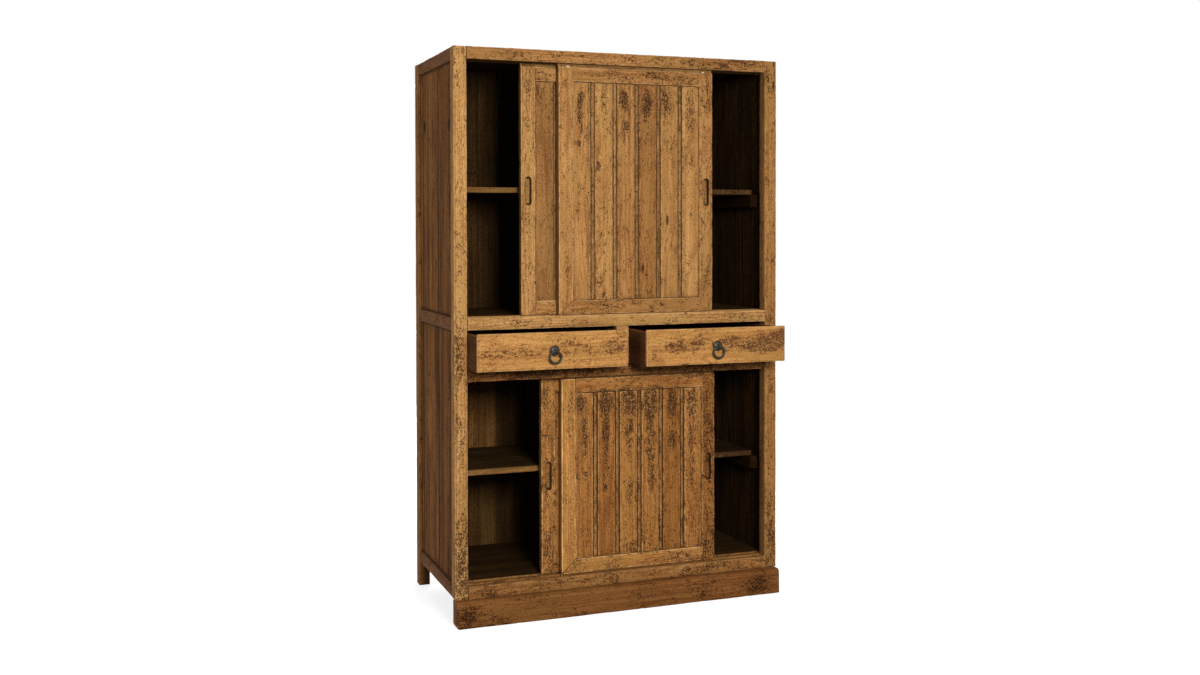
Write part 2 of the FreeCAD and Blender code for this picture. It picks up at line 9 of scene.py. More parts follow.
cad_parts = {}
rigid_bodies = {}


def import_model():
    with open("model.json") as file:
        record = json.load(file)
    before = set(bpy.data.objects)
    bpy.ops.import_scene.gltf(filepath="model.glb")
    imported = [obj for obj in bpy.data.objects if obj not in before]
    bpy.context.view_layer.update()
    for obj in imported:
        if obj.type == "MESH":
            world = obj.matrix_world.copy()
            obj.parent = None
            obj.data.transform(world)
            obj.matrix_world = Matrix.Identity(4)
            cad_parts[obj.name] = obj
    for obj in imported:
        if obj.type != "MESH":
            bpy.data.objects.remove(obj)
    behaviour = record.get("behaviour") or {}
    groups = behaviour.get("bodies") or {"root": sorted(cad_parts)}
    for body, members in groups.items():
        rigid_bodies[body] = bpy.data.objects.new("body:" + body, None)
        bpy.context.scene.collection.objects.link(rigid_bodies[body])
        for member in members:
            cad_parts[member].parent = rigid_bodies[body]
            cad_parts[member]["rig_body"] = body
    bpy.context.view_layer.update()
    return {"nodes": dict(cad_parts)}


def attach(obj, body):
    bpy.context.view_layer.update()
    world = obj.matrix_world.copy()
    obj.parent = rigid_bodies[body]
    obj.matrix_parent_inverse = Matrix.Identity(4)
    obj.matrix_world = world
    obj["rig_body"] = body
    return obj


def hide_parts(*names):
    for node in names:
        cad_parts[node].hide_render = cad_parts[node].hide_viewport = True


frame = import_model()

# Camera. It stands to the left of the cabinet at chest height and looks a little to the right, and its
# shift keeps the upright edges of the cabinet upright in the picture.

camera = bpy.data.objects.new("camera", bpy.data.cameras.new("camera"))
bpy.context.scene.collection.objects.link(camera)
bpy.context.scene.camera = camera
camera.data.sensor_width = 36.0
camera.data.lens = 38.53
camera.data.shift_x = -0.0167
camera.data.shift_y = -0.0738
camera.data.clip_end = 60.0
turned_right = Matrix.Rotation(math.radians(-21.255), 4, "Z")
tipped_down = Matrix.Rotation(math.radians(90 - 1.015), 4, "X")
rolled = Matrix.Rotation(math.radians(-0.081), 4, "Z")
camera.matrix_world = Matrix.Translation((-1.598, -4.082, 1.312)) @ turned_right @ tipped_down @ rolled


# Floor, backdrop and light. A pale floor that runs out to white, a white surround, and five large soft
# lamps: the main one in front and a little above, one behind for the back, and weaker ones on the left,
# the right and above.

FLOOR_REACH = 20.0
FLOOR_GREY, WHITE = (0.42, 0.42, 0.42, 1), (1, 1, 1, 1)


def add_node(tree, kind, inputs=None, **settings):
    """A shader node with its settings, its inputs given as values or as the outputs that feed them."""
    node = tree.nodes.new("ShaderNode" + kind)
    for setting, value in settings.items():
        setattr(node, setting, value)
    for key, value in (inputs or {}).items():
        if isinstance(value, bpy.types.NodeSocket):
            tree.links.new(value, node.inputs[key])
        else:
            node.inputs[key].default_value = value
    return node


def sum_of(tree, operation, *values):
    """One step of arithmetic with values."""
    return add_node(tree, "Math", dict(enumerate(values)), operation=operation).outputs[0]


def vector_sum(tree, operation, *vectors):
    """One step of arithmetic with vectors."""
    return add_node(tree, "VectorMath", dict(enumerate(vectors)), operation=operation).outputs


def times(tree, one, other):
    """Two values multiplied."""
    return sum_of(tree, "MULTIPLY", one, other)


def fade(tree, value, low, high, start=0.0, end=1.0):
    """A soft step: start below low, end above high."""
    inputs = {"Value": value, "From Min": low, "From Max": high, "To Min": start, "To Max": end}
    return add_node(tree, "MapRange", inputs, interpolation_type="SMOOTHSTEP").outputs["Result"]


floor_mesh = bmesh.new()
bmesh.ops.create_grid(floor_mesh, x_segments=2, y_segments=2, size=FLOOR_REACH)
floor = bpy.data.objects.new("floor", bpy.data.meshes.new("floor"))
floor_mesh.to_mesh(floor.data)
floor_mesh.free()
bpy.context.scene.collection.objects.link(floor)

floor_finish = bpy.data.materials.new("pale_floor")
floor_finish.use_nodes = True
tree = floor_finish.node_tree
tree.nodes.clear()
place = add_node(tree, "TexCoord").outputs["Object"]
from_cabinet = vector_sum(tree, "DISTANCE", place, (0, 0.25, 0))["Value"]
seen = add_node(tree, "LightPath").outputs
seen_or_mirrored = sum_of(tree, "MAXIMUM", seen["Is Camera Ray"], seen["Is Glossy Ray"])
shine = times(tree, seen_or_mirrored, fade(tree, from_cabinet, 0.8, 2.6, 0.8, 1.0))
lit = add_node(tree, "BsdfDiffuse", {"Color": FLOOR_GREY}).outputs[0]
glow = add_node(tree, "Emission", {"Color": WHITE, "Strength": shine}).outputs[0]
both = add_node(tree, "AddShader", {0: lit, 1: glow}).outputs[0]
add_node(tree, "OutputMaterial", {"Surface": both})
floor.data.materials.append(floor_finish)

world = bpy.data.worlds.new("white_surround")
bpy.context.scene.world = world
world.use_nodes = True
tree = world.node_tree
tree.nodes.clear()
seen = add_node(tree, "LightPath").outputs
seen_or_mirrored = sum_of(tree, "MAXIMUM", seen["Is Camera Ray"], seen["Is Glossy Ray"])
seen_or_through = sum_of(tree, "MAXIMUM", seen_or_mirrored, seen["Is Transmission Ray"])
strength = fade(tree, seen_or_through, 0.0, 1.0, 0.1, 1.0)
surround = add_node(tree, "Background", {"Color": WHITE, "Strength": strength}).outputs[0]
add_node(tree, "OutputWorld", {"Surface": surround})

for lamp_name, stands_at, aims_at, size, watts in (
    ("front_lamp", (-0.45, -3.8, 1.97), (0.0, 0.0, 1.2), 0.9, 142.0),
    ("left_lamp", (-3.5, -0.7, 2.0), (-0.5, 0.3, 1.1), 1.6, 30.0),
    ("right_lamp", (2.8, -2.6, 1.9), (0.0, 0.1, 1.0), 1.6, 12.0),
    ("rear_lamp", (1.0, 4.3, 2.4), (0.0, 0.5, 1.1), 1.6, 150.0),
    ("top_lamp", (0.3, -0.2, 4.6), (0.0, 0.2, 1.9), 2.0, 60.0),
):
    light = bpy.data.lights.new(lamp_name, "AREA")
    light.size = size
    light.energy = watts
    lamp = bpy.data.objects.new(lamp_name, light)
    bpy.context.scene.collection.objects.link(lamp)
    lamp.location = stands_at
    lamp.rotation_euler = (Vector(aims_at) - Vector(stands_at)).to_track_quat("-Z", "Y").to_euler()

bpy.context.scene.view_settings.view_transform = "Standard"


# Plinth beam. One long softwood beam that lies on the floor under the front posts, its upper front edge
# rounded over by feet and its ends knocked round. It is the first timber, so the tools and the look of
# the wood start here.

ALONG_X, ALONG_Y, ALONG_Z = 0, 1, 2
SHARP_ANGLE = 0.6
WORN_BAND, FACE_WEAR, ARRIS_WEAR, CHIP_DEPTH = 0.007, 0.00022, 0.0006, 0.0028
PLINTH_LOW, PLINTH_HIGH = (-0.59, -0.028, 0.0), (0.59, 0.032, 0.088)
WRITTEN_ON_POINTS = ("lay", "near", "far", "marks")
draw = random.Random(23)


def squared(low, high):
    """A squared timber between two corners."""
    timber = bmesh.new()
    bmesh.ops.create_cube(timber, size=1.0)
    bmesh.ops.scale(timber, vec=[b - a for a, b in zip(low, high)], verts=timber.verts[:])
    bmesh.ops.translate(timber, vec=[(a + b) / 2 for a, b in zip(low, high)], verts=timber.verts[:])
    return timber


def runs_along(edge, axis, closely=0.99):
    """Whether an edge runs along an axis."""
    return abs((edge.verts[1].co - edge.verts[0].co).normalized()[axis]) > closely


def sharp_edges(timber):
    """The edges where two faces meet at an angle."""
    return [edge for edge in timber.edges if edge.calc_face_angle(0) > SHARP_ANGLE]


def rounded_over(timber, edges, radius, segments=2):
    """Planes the chosen edges round."""
    bmesh.ops.bevel(
        timber, geom=edges, offset=radius, offset_type="OFFSET", segments=segments,
        profile=0.5, affect="EDGES", material=-1, clamp_overlap=True,
    )


def eased(timber, arris, grain, butted):
    """Takes the sharpness off the corners, but not round the ends of a timber that butts against others."""
    corners = [edge for edge in sharp_edges(timber) if not butted or runs_along(edge, grain)]
    rounded_over(timber, corners, arris)


def divided(timber, step):
    """Cuts the faces into cells of about one step, so that wear can move them."""
    for axis in (ALONG_X, ALONG_Y, ALONG_Z):
        cells = {}
        for edge in timber.edges:
            count = round(edge.calc_length() / step)
            if count > 1 and runs_along(edge, axis, 0.999):
                cells.setdefault(count, []).append(edge)
        for count, edges in cells.items():
            bmesh.ops.subdivide_edges(timber, edges=edges, cuts=count - 1, use_grid_fill=True)


def aged(timber, low, high, grain, butted=True, wear=1.0, pools=(), soil=0.0, grime=0.0, tone=None,
         opening=None):
    """Wears the surface and arrises, and writes on each point what the finish reads there.

    lay is the place along, across and through the grain, near and far are the distances from the low and
    high faces, and marks are the tone of the wood, how stained it is, and how much grime and painted shade it
    gets. pools are stains, each with its centre, reach and strength. soil and the grime and painted shade may
    be functions of the place, and opening is what a frame leaves to be seen of a board that stands in its
    grooves."""
    low, high = Vector(low), Vector(high)
    if butted:
        low[grain] -= 1.0
        high[grain] += 1.0
    flat = [axis for axis in range(3) if axis != grain]
    across, through = sorted(flat, key=lambda axis: low[axis] - high[axis])
    start = Vector((draw.uniform(0, 40), draw.uniform(-0.05, 0.05), draw.uniform(0.03, 0.11)))
    middle, shift = (low + high) / 2, start * 7
    tone = draw.uniform(0.9, 1.1) if tone is None else tone
    lay, near, far, marks = [timber.verts.layers.float_vector.new(name) for name in WRITTEN_ON_POINTS]
    timber.normal_update()
    for point in timber.verts:
        place = point.co.copy()
        off = place - middle
        point[lay] = start + Vector((off[grain], off[across], off[through]))
        point[near] = place - low
        point[far] = high - place
        if opening:
            point[near] = [min(a, b - c) for a, b, c in zip(point[near], place, opening[0])]
            point[far] = [min(a, c - b) for a, b, c in zip(point[far], place, opening[1])]
        from_edge = sorted(min(a, b) for a, b in zip(point[near], point[far]))[1]
        stain = soil(place) if callable(soil) else soil
        for centre, reach, strength in pools:
            spread = sum(((a - b) / c) ** 2 for a, b, c in zip(place, centre, reach))
            stain = max(stain, strength * (1 - spread), 0.0)
        point[marks] = (tone, stain, grime(place) if callable(grime) else grime)
        slow = 1 + noise.noise(place * 9 + shift)
        chips = max(0.0, noise.noise(place * 60 + shift) - 0.18)
        edge = max(0.0, 1 - from_edge / WORN_BAND)
        depth = FACE_WEAR * slow + edge * (ARRIS_WEAR * slow + CHIP_DEPTH * chips)
        point.co -= point.normal * depth * wear


def as_mesh(timber):
    """The finished timber as a mesh."""
    mesh = bpy.data.meshes.new("timber")
    timber.to_mesh(mesh)
    timber.free()
    return mesh


def board(low, high, grain, arris=0.0015, step=0.011, butted=True, **age):
    """A plain sawn board, eased, cut into cells and aged."""
    timber = squared(low, high)
    eased(timber, arris, grain, butted)
    divided(timber, step)
    aged(timber, low, high, grain, butted, **age)
    return as_mesh(timber)


def placed(name, mesh, finish, node=None, body=None):
    """Puts a finished piece in the scene. It stands for its CAD node and moves with that node's body. A bit
    of trim has no node, and moves with the body that is given."""
    mesh.name = name
    piece = bpy.data.objects.new(name, mesh)
    bpy.context.scene.collection.objects.link(piece)
    mesh.polygons.foreach_set("use_smooth", [True] * len(mesh.polygons))
    mesh.materials.append(finish)
    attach(piece, body or frame["nodes"][node]["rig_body"])
    if node:
        mesh.set_sharp_from_angle(angle=math.radians(50))
        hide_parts(node)


def fitted(name, node, finish, meshes):
    """Joins the boards of one piece and puts it in its CAD node's place."""
    whole = bmesh.new()
    for layer in WRITTEN_ON_POINTS:
        whole.verts.layers.float_vector.new(layer)
    for mesh in meshes:
        whole.from_mesh(mesh)
        bpy.data.meshes.remove(mesh)
    placed(name, as_mesh(whole), finish, node)


def new_group(name, takes, gives):
    """A node group with its own inputs and outputs."""
    tree = bpy.data.node_groups.new(name, "ShaderNodeTree")
    for label, kind in takes.items():
        tree.interface.new_socket(name=label, in_out="INPUT", socket_type=kind)
    for label in gives:
        tree.interface.new_socket(name=label, in_out="OUTPUT", socket_type=NUMBER)
    return tree, tree.nodes.new("NodeGroupInput").outputs, tree.nodes.new("NodeGroupOutput").inputs


def written(tree, name):
    """What is written on the points of a timber."""
    return add_node(tree, "Attribute", attribute_name=name).outputs["Vector"]


def part_plus(tree, value, part, rest):
    """A part of one value, and the rest."""
    return sum_of(tree, "MULTIPLY_ADD", value, part, rest)


def scaled(tree, vector, sizes):
    """A vector stretched on each axis."""
    return vector_sum(tree, "MULTIPLY", vector, sizes)["Vector"]


def cells(tree, vector, sizes):
    """How far each place is from the middle of its cell, in a pattern of uneven cells."""
    inputs = {"Vector": scaled(tree, vector, sizes), "Scale": 1.0}
    return add_node(tree, "TexVoronoi", inputs).outputs["Distance"]


def cloud(tree, vector, sizes, detail, roughness=0.55):
    """Soft noise, as a value about one half."""
    inputs = {"Vector": scaled(tree, vector, sizes), "Scale": 1.0, "Detail": detail, "Roughness": roughness}
    return add_node(tree, "TexNoise", inputs, noise_dimensions="3D").outputs["Fac"]


# Growth rings round a heart that wanders off the board, fine fibres, broad streaks and a few knots.
VECTOR, NUMBER = "NodeSocketVector", "NodeSocketFloat"
RING_SPACING = 0.0085
outputs = ["Tone", "Ring", "Knot", "Olive", "Band"]
grain_group, takes, gives = new_group("softwood_grain", {"Lay": VECTOR}, outputs)
tree, lay = grain_group, takes["Lay"]
from_knot = cells(tree, lay, (3.1, 9.5, 9.5))
knot_edge = sum_of(tree, "ADD", from_knot, times(tree, cloud(tree, lay, (60, 140, 140), 2), 0.05))
tree.links.new(fade(tree, knot_edge, 0.09, 0.065), gives["Knot"])
wander = add_node(tree, "TexNoise", {"Vector": scaled(tree, lay, (1.5, 8, 8)), "Scale": 1.0, "Detail": 2.0})
wandered = vector_sum(tree, "SUBTRACT", wander.outputs["Color"], (0.5, 0.5, 0.5))["Vector"]
moved = vector_sum(tree, "ADD", lay, scaled(tree, wandered, (0, 0.055, 0.055)))["Vector"]
from_heart = vector_sum(tree, "LENGTH", scaled(tree, moved, (0, 1, 1)))["Value"]
from_heart = sum_of(tree, "ADD", from_heart, fade(tree, from_knot, 0.05, 0.42, 0.014, 0.0))
ring = fade(tree, sum_of(tree, "SINE", times(tree, from_heart, 2 * math.pi / RING_SPACING)), 0.1, 1.0)
tree.links.new(ring, gives["Ring"])
fibres = cloud(tree, lay, (5, 260, 260), 3, 0.6)
streaks = cloud(tree, lay, (1.4, 62, 62), 3, 0.6)
drift = cloud(tree, lay, (3.5, 14, 14), 3)
specks = cloud(tree, lay, (170, 240, 240), 2, 0.7)
mix = part_plus(tree, streaks, 0.85, times(tree, fibres, 0.45))
for value, part in ((drift, 0.7), (ring, -0.12), (specks, 1.3)):
    mix = part_plus(tree, value, part, mix)
tree.links.new(sum_of(tree, "SUBTRACT", mix, 1.1), gives["Tone"])
tree.links.new(fade(tree, cloud(tree, lay, (0.9, 17, 17), 4, 0.68), 0.5, 0.66), gives["Band"])
tree.links.new(fade(tree, cloud(tree, lay, (2.4, 11, 11), 2), 0.44, 0.64), gives["Olive"])

# Pits and stains: fine grains of dark brown that crowd together where the wood is stained, with a soft
# brown halo and pale flecks between them, and single pits elsewhere.
outputs = ["Stain", "Halo", "Fleck", "Pit"]
pits_group, takes, gives = new_group("pits_and_stains", {"Lay": VECTOR, "Amount": NUMBER}, outputs)
tree, lay, amount = pits_group, takes["Lay"], takes["Amount"]
patches = cloud(tree, lay, (14, 34, 34), 3)
grains = cloud(tree, lay, (180, 240, 240), 2, 0.65)
clusters = cloud(tree, lay, (55, 110, 110), 2, 0.6)
level = part_plus(tree, clusters, 0.5, part_plus(tree, patches, 0.45, grains))
level = part_plus(tree, sum_of(tree, "MINIMUM", amount, 0.98), 0.34, level)
tree.links.new(fade(tree, level, 1.14, 1.27), gives["Stain"])
soft_level = part_plus(tree, clusters, 0.6, times(tree, patches, 0.6))
tree.links.new(fade(tree, part_plus(tree, amount, 0.32, soft_level), 0.66, 1.02), gives["Halo"])
bare = part_plus(tree, amount, 0.07, cloud(tree, lay, (150, 240, 240), 2, 0.7))
tree.links.new(fade(tree, bare, 0.6, 0.71), gives["Fleck"])
chosen = fade(tree, cloud(tree, lay, (16, 28, 28), 2), 0.55, 0.74, 0.0, 0.34)
hole_size = part_plus(tree, amount, 0.15, chosen)
inside_hole = sum_of(tree, "SUBTRACT", hole_size, cells(tree, lay, (78, 125, 125)))
tree.links.new(fade(tree, inside_hole, 0.0, 0.07), gives["Pit"])

# Worn arrises and the dirt beside them, from the distance to the nearest edge of the board: of a place's
# least distances on the three axes, the one in the middle.
edge_group, takes, gives = new_group("board_edges", {"Lay": VECTOR}, ["Worn", "Dirty"])
tree, lay = edge_group, takes["Lay"]
near, far = written(tree, "near"), written(tree, "far")
parts = add_node(tree, "SeparateXYZ", {0: vector_sum(tree, "MINIMUM", near, far)["Vector"]}).outputs
total, smallest, largest = [
    sum_of(tree, way, sum_of(tree, way, parts[0], parts[1]), parts[2])
    for way in ("ADD", "MINIMUM", "MAXIMUM")
]
from_edge = sum_of(tree, "SUBTRACT", sum_of(tree, "SUBTRACT", total, smallest), largest)
for label, sizes, roughness, ragged, none, full in (
    ("Worn", (35, 90, 90), 0.55, 0.0075, 0.0082, 0.0046),
    ("Dirty", (24, 60, 60), 0.65, 0.024, 0.019, 0.012),
):
    ragged_edge = sum_of(tree, "ADD", from_edge, times(tree, cloud(tree, lay, sizes, 3, roughness), ragged))
    tree.links.new(fade(tree, ragged_edge, none, full), gives[label])


def mixed(tree, factor, under, over, blend_type="MIX"):
    """One colour laid over another, each given by its red, green and blue or by an output."""
    under, over = [(*colour, 1) if isinstance(colour, tuple) else colour for colour in (under, over)]
    inputs = {0: factor, 6: under, 7: over}
    return add_node(tree, "Mix", inputs, data_type="RGBA", blend_type=blend_type).outputs[2]


def new_finish(name):
    """A new material, with its nodes and its own shader."""
    finish = bpy.data.materials.new(name)
    finish.use_nodes = True
    return finish, finish.node_tree, finish.node_tree.nodes["Principled BSDF"]


def old_wood(name, pale, honey, brown, worn, wear_strength=0.55, dirt=0.45, bands=0.0,
             roughness=0.6, shine=0.05, stained=(0.046, 0.017, 0.007)):
    """Old waxed softwood: its grain between three colours, dark pits and stains, and paler worn arrises."""
    finish, tree, shader = new_finish(name)
    lay = written(tree, "lay")
    own_tone, amount, grime = add_node(tree, "SeparateXYZ", {0: written(tree, "marks")}).outputs
    grain = add_node(tree, "Group", {"Lay": lay}, node_tree=grain_group).outputs
    pits = add_node(tree, "Group", {"Lay": lay, "Amount": amount}, node_tree=pits_group).outputs
    edges = add_node(tree, "Group", {"Lay": lay}, node_tree=edge_group).outputs
    olive = (0.96 * honey[0], 1.1 * honey[1], 1.05 * honey[2])
    body = mixed(tree, fade(tree, grain["Tone"], 0.25, 0.6), brown, honey)
    body = mixed(tree, fade(tree, grain["Tone"], 0.52, 0.92), body, pale)
    grime_and_shade_strength = fade(tree, grain["Tone"], 0.3, 0.9, 1.0, 0.8)
    for mask, strength, colour in (
        (grain["Ring"], 0.28, brown),
        (grain["Olive"], 0.45, olive),
        (grain["Band"], bands, (0.055, 0.019, 0.006)),
        (edges["Dirty"], dirt, (0.13, 0.045, 0.013)),
        (edges["Worn"], wear_strength, worn),
        (grain["Knot"], 0.85, (0.045, 0.017, 0.008)),
        (pits["Halo"], 0.52, (0.165, 0.066, 0.02)),
        (pits["Stain"], 0.9, stained),
        (pits["Fleck"], 0.42, worn),
        (pits["Pit"], 0.75, (0.038, 0.015, 0.006)),
        # Grime and painted shade: the dark colour laid on as dirt and smoke, and as painted shade inside the
        # case, under rails and in grooves and seams.
        (grime, grime_and_shade_strength, (0.014, 0.0076, 0.0028)),
    ):
        body = mixed(tree, times(tree, mask, strength), body, colour)
    greener, bluer = [sum_of(tree, "POWER", own_tone, power) for power in (1.35, 1.6)]
    tone = add_node(tree, "CombineXYZ", {0: own_tone, 1: greener, 2: bluer}).outputs[0]
    rough = part_plus(tree, grain["Tone"], 0.12, part_plus(tree, pits["Halo"], 0.22, roughness))
    height = part_plus(tree, grain["Tone"], 0.55, times(tree, grain["Ring"], 0.2))
    height = part_plus(tree, pits["Stain"], -0.9, height)
    height = part_plus(tree, pits["Pit"], -1.4, height)
    bump = add_node(tree, "Bump", {"Strength": 0.55, "Distance": 0.0009, "Height": height})
    tree.links.new(mixed(tree, 1.0, body, tone, "MULTIPLY"), shader.inputs["Base Color"])
    tree.links.new(rough, shader.inputs["Roughness"])
    tree.links.new(bump.outputs["Normal"], shader.inputs["Normal"])
    shader.inputs["Specular IOR Level"].default_value = shine
    return finish


frame_finish = old_wood(
    "frame_wood_finish",
    pale=(0.545, 0.3, 0.11), honey=(0.415, 0.203, 0.062),
    brown=(0.25, 0.107, 0.03), worn=(0.63, 0.365, 0.145),
)

plinth = squared(PLINTH_LOW, PLINTH_HIGH)
crown = [
    edge for edge in plinth.edges
    if runs_along(edge, ALONG_X) and edge.verts[0].co.y < 0 and edge.verts[0].co.z > 0.05
]
rounded_over(plinth, crown, 0.016, 8)
left_heel = [
    edge for edge in plinth.edges
    if runs_along(edge, ALONG_Y) and edge.verts[0].co.x < 0 and edge.verts[0].co.z < 0.05
]
rounded_over(plinth, left_heel, 0.011, 5)
rounded_over(plinth, sharp_edges(plinth), 0.003, 3)
divided(plinth, 0.01)
aged(
    plinth, PLINTH_LOW, PLINTH_HIGH, ALONG_X, butted=False, wear=1.5, soil=0.25, tone=0.5,
    pools=[
        ((-0.545, -0.028, 0.04), (0.085, 0.03, 0.06), 1.05),
        ((-0.46, -0.028, 0.025), (0.09, 0.02, 0.045), 0.85),
        ((0.02, -0.028, 0.035), (0.12, 0.02, 0.04), 0.75),
        ((0.3, -0.028, 0.035), (0.11, 0.02, 0.04), 0.5),
        ((0.51, -0.028, 0.04), (0.1, 0.03, 0.055), 0.72),
        ((-0.25, -0.028, 0.05), (0.2, 0.02, 0.03), 0.35),
    ],
)
fitted("plinth", "plinth_beam", frame_finish, [as_mesh(plinth)])


# Posts. Two square posts stand on the plinth at the front, and two flatter ones go down to the floor at
# the back. The front posts are the most worn: pitted low down, and stained where hands and pans met them
# at the waist.

CASE_TOP, CASE_FRONT, CASE_BACK, CASE_SIDE = 1.9, 0.0, 0.58, 0.59
FRONT_POST_INSIDE, FRONT_POST_BACK = 0.544, 0.046
REAR_POST_INSIDE, REAR_POST_FRONT = 0.55, 0.536
FRONT_POST_POOLS = {
    "left": [
        ((-0.567, 0, 1.80), (0.040, 0.06, 0.16), 0.38),
        ((-0.567, 0, 1.47), (0.030, 0.06, 0.22), 0.32),
        ((-0.575, 0, 0.90), (0.030, 0.06, 0.19), 0.80),
        ((-0.567, 0, 0.63), (0.040, 0.06, 0.12), 0.45),
        ((-0.567, 0, 0.20), (0.040, 0.06, 0.26), 0.95),
    ],
    "right": [
        ((0.567, 0, 1.84), (0.040, 0.06, 0.13), 0.60),
        ((0.567, 0, 1.38), (0.030, 0.06, 0.20), 0.35),
        ((0.567, 0, 0.95), (0.040, 0.06, 0.12), 0.50),
        ((0.567, 0, 0.20), (0.040, 0.06, 0.30), 0.62),
    ],
}


def mirrored(side, low, high):
    """The two corners on the left or the right side."""
    if side == "right":
        return low, high
    return (-high[0], *low[1:]), (-low[0], *high[1:])


def smoke_and_painted_shade(place):
    """How dark smoke, dust and painted shade make the faces that look into the case, the painted shade deeper
    in the bays on the right. They are palest at the front and, in the lower cupboard, at the back on the
    left, where a pool of light is painted."""
    if abs(place.x) > 0.5705 or not 0.004 < place.y < 0.5415 or place.z > 1.889:
        return 0.0
    if place.y < 0.047:
        return 0.25
    if place.y > 0.53 and place.x < -0.3 and place.z < 0.9:
        return 0.22 if place.z > 0.48 else 0.66
    return 0.91 if place.x < 0 else 0.985


for side, tone in (("left", 1.08), ("right", 0.79)):
    low = (FRONT_POST_INSIDE, CASE_FRONT, PLINTH_HIGH[2])
    low, high = mirrored(side, low, (CASE_SIDE, FRONT_POST_BACK, CASE_TOP))
    post = board(
        low, high, ALONG_Z, arris=0.0022, step=0.009, butted=False, wear=1.6, soil=0.24,
        pools=FRONT_POST_POOLS[side], tone=tone, grime=smoke_and_painted_shade,
    )
    fitted(f"{side}_front_post_timber", f"front_{side}_post", frame_finish, [post])
for side in ("left", "right"):
    low, high = mirrored(side, (REAR_POST_INSIDE, REAR_POST_FRONT, 0), (CASE_SIDE, CASE_BACK, CASE_TOP))
    post = board(
        low, high, ALONG_Z, arris=0.002, step=0.012, butted=False, soil=0.25, tone=0.7, grime=smoke_and_painted_shade,
    )
    fitted(f"{side}_rear_post_timber", f"rear_{side}_post", frame_finish, [post])


# Front rails. Four rails between the front posts: the top one, the two that frame the drawers, and the
# sill. Each is as deep as the two door tracks, and the doors' tongues run in two grooves ploughed along
# it.

TOP_RAIL, OVER_DRAWERS = (1.858, 1.9), (0.971, 1.012)
UNDER_DRAWERS, SILL = (0.802, 0.843), (0.088, 0.13)
RAIL_BACK, RAIL_EAR, HALF_DIVIDER = 0.084, 0.557, 0.0225
GROOVES = ((0.02, 0.038), (0.056, 0.074))
GROOVE_OVER_DOOR, GROOVE_UNDER_DOOR = 0.012, 0.005


def drawn_out(outline, axis, start, end):
    """A timber whose outline across an axis is drawn out along it."""
    flat = [other for other in range(3) if other != axis]
    timber = bmesh.new()
    corners = []
    for place in outline:
        corner = Vector()
        corner[axis] = start
        corner[flat[0]], corner[flat[1]] = place
        corners.append(timber.verts.new(corner))
    drawn = bmesh.ops.extrude_face_region(timber, geom=[timber.faces.new(corners)])["geom"]
    length = Vector()
    length[axis] = end - start
    bmesh.ops.translate(timber, vec=length, verts=[v for v in drawn if isinstance(v, bmesh.types.BMVert)])
    bmesh.ops.recalc_face_normals(timber, faces=timber.faces[:])
    return timber


def fading(value, none, full):
    """How far a value has come from one that gives nothing to one that gives the full effect."""
    return min(1.0, max(0.0, (value - none) / (full - none)))


def front_rail(name, node, bottom, top, grooved_above, painted_upper_shadow=0.0, **age):
    """A rail of the front with its two grooves, and the ends that reach behind the posts."""
    if grooved_above:
        face, opposite, groove_floor = top, bottom, top - GROOVE_UNDER_DOOR
    else:
        face, opposite, groove_floor = bottom, top, bottom + GROOVE_OVER_DOOR
    outline = [(CASE_FRONT, opposite), (CASE_FRONT, face)]
    for start, end in GROOVES:
        outline += [(start, face), (start, groove_floor), (end, groove_floor), (end, face)]
    outline += [(RAIL_BACK, face), (RAIL_BACK, opposite)]
    timber = drawn_out(outline, ALONG_X, -FRONT_POST_INSIDE, FRONT_POST_INSIDE)
    eased(timber, 0.0012, ALONG_X, True)
    divided(timber, 0.01)

    def soot_and_painted_shade(place):
        """Soot and painted shade on an underside, where the doors run, and in the grooves, and a painted
        shadow high on the front.
        """
        hidden = place.y > 0.0025 and (not grooved_above and place.z < top - 0.001 or place.y > 0.08)
        return 0.92 if hidden else painted_upper_shadow * fading(place.z, top - 0.028, top - 0.004)

    low, high = (-FRONT_POST_INSIDE, CASE_FRONT, bottom), (FRONT_POST_INSIDE, RAIL_BACK, top)
    aged(timber, low, high, ALONG_X, wear=1.2, grime=soot_and_painted_shade, **age)
    ears = [
        board((left, FRONT_POST_BACK, bottom), (right, RAIL_BACK, top), ALONG_X, **age)
        for left, right in ((-RAIL_EAR, -FRONT_POST_INSIDE), (FRONT_POST_INSIDE, RAIL_EAR))
    ]
    fitted(name, node, frame_finish, [as_mesh(timber), *ears])


front_rail(
    "top_rail_timber", "top_front_rail", *TOP_RAIL, False, soil=0.34, tone=0.8,
    pools=[
        ((-0.42, 0, 1.876), (0.14, 0.03, 0.02), 0.55),
        ((-0.1, 0, 1.88), (0.12, 0.03, 0.018), 0.35),
        ((0.2, 0, 1.878), (0.3, 0.03, 0.03), 0.6),
        ((0.45, 0, 1.88), (0.2, 0.03, 0.032), 0.8),
    ],
)
front_rail(
    "rail_over_drawers", "upper_waist_rail", *OVER_DRAWERS, True, soil=0.2, tone=1.06,
    pools=[((-0.3, 0, 0.99), (0.26, 0.03, 0.03), 0.35), ((0.45, 0, 0.99), (0.12, 0.03, 0.03), 0.45)],
)
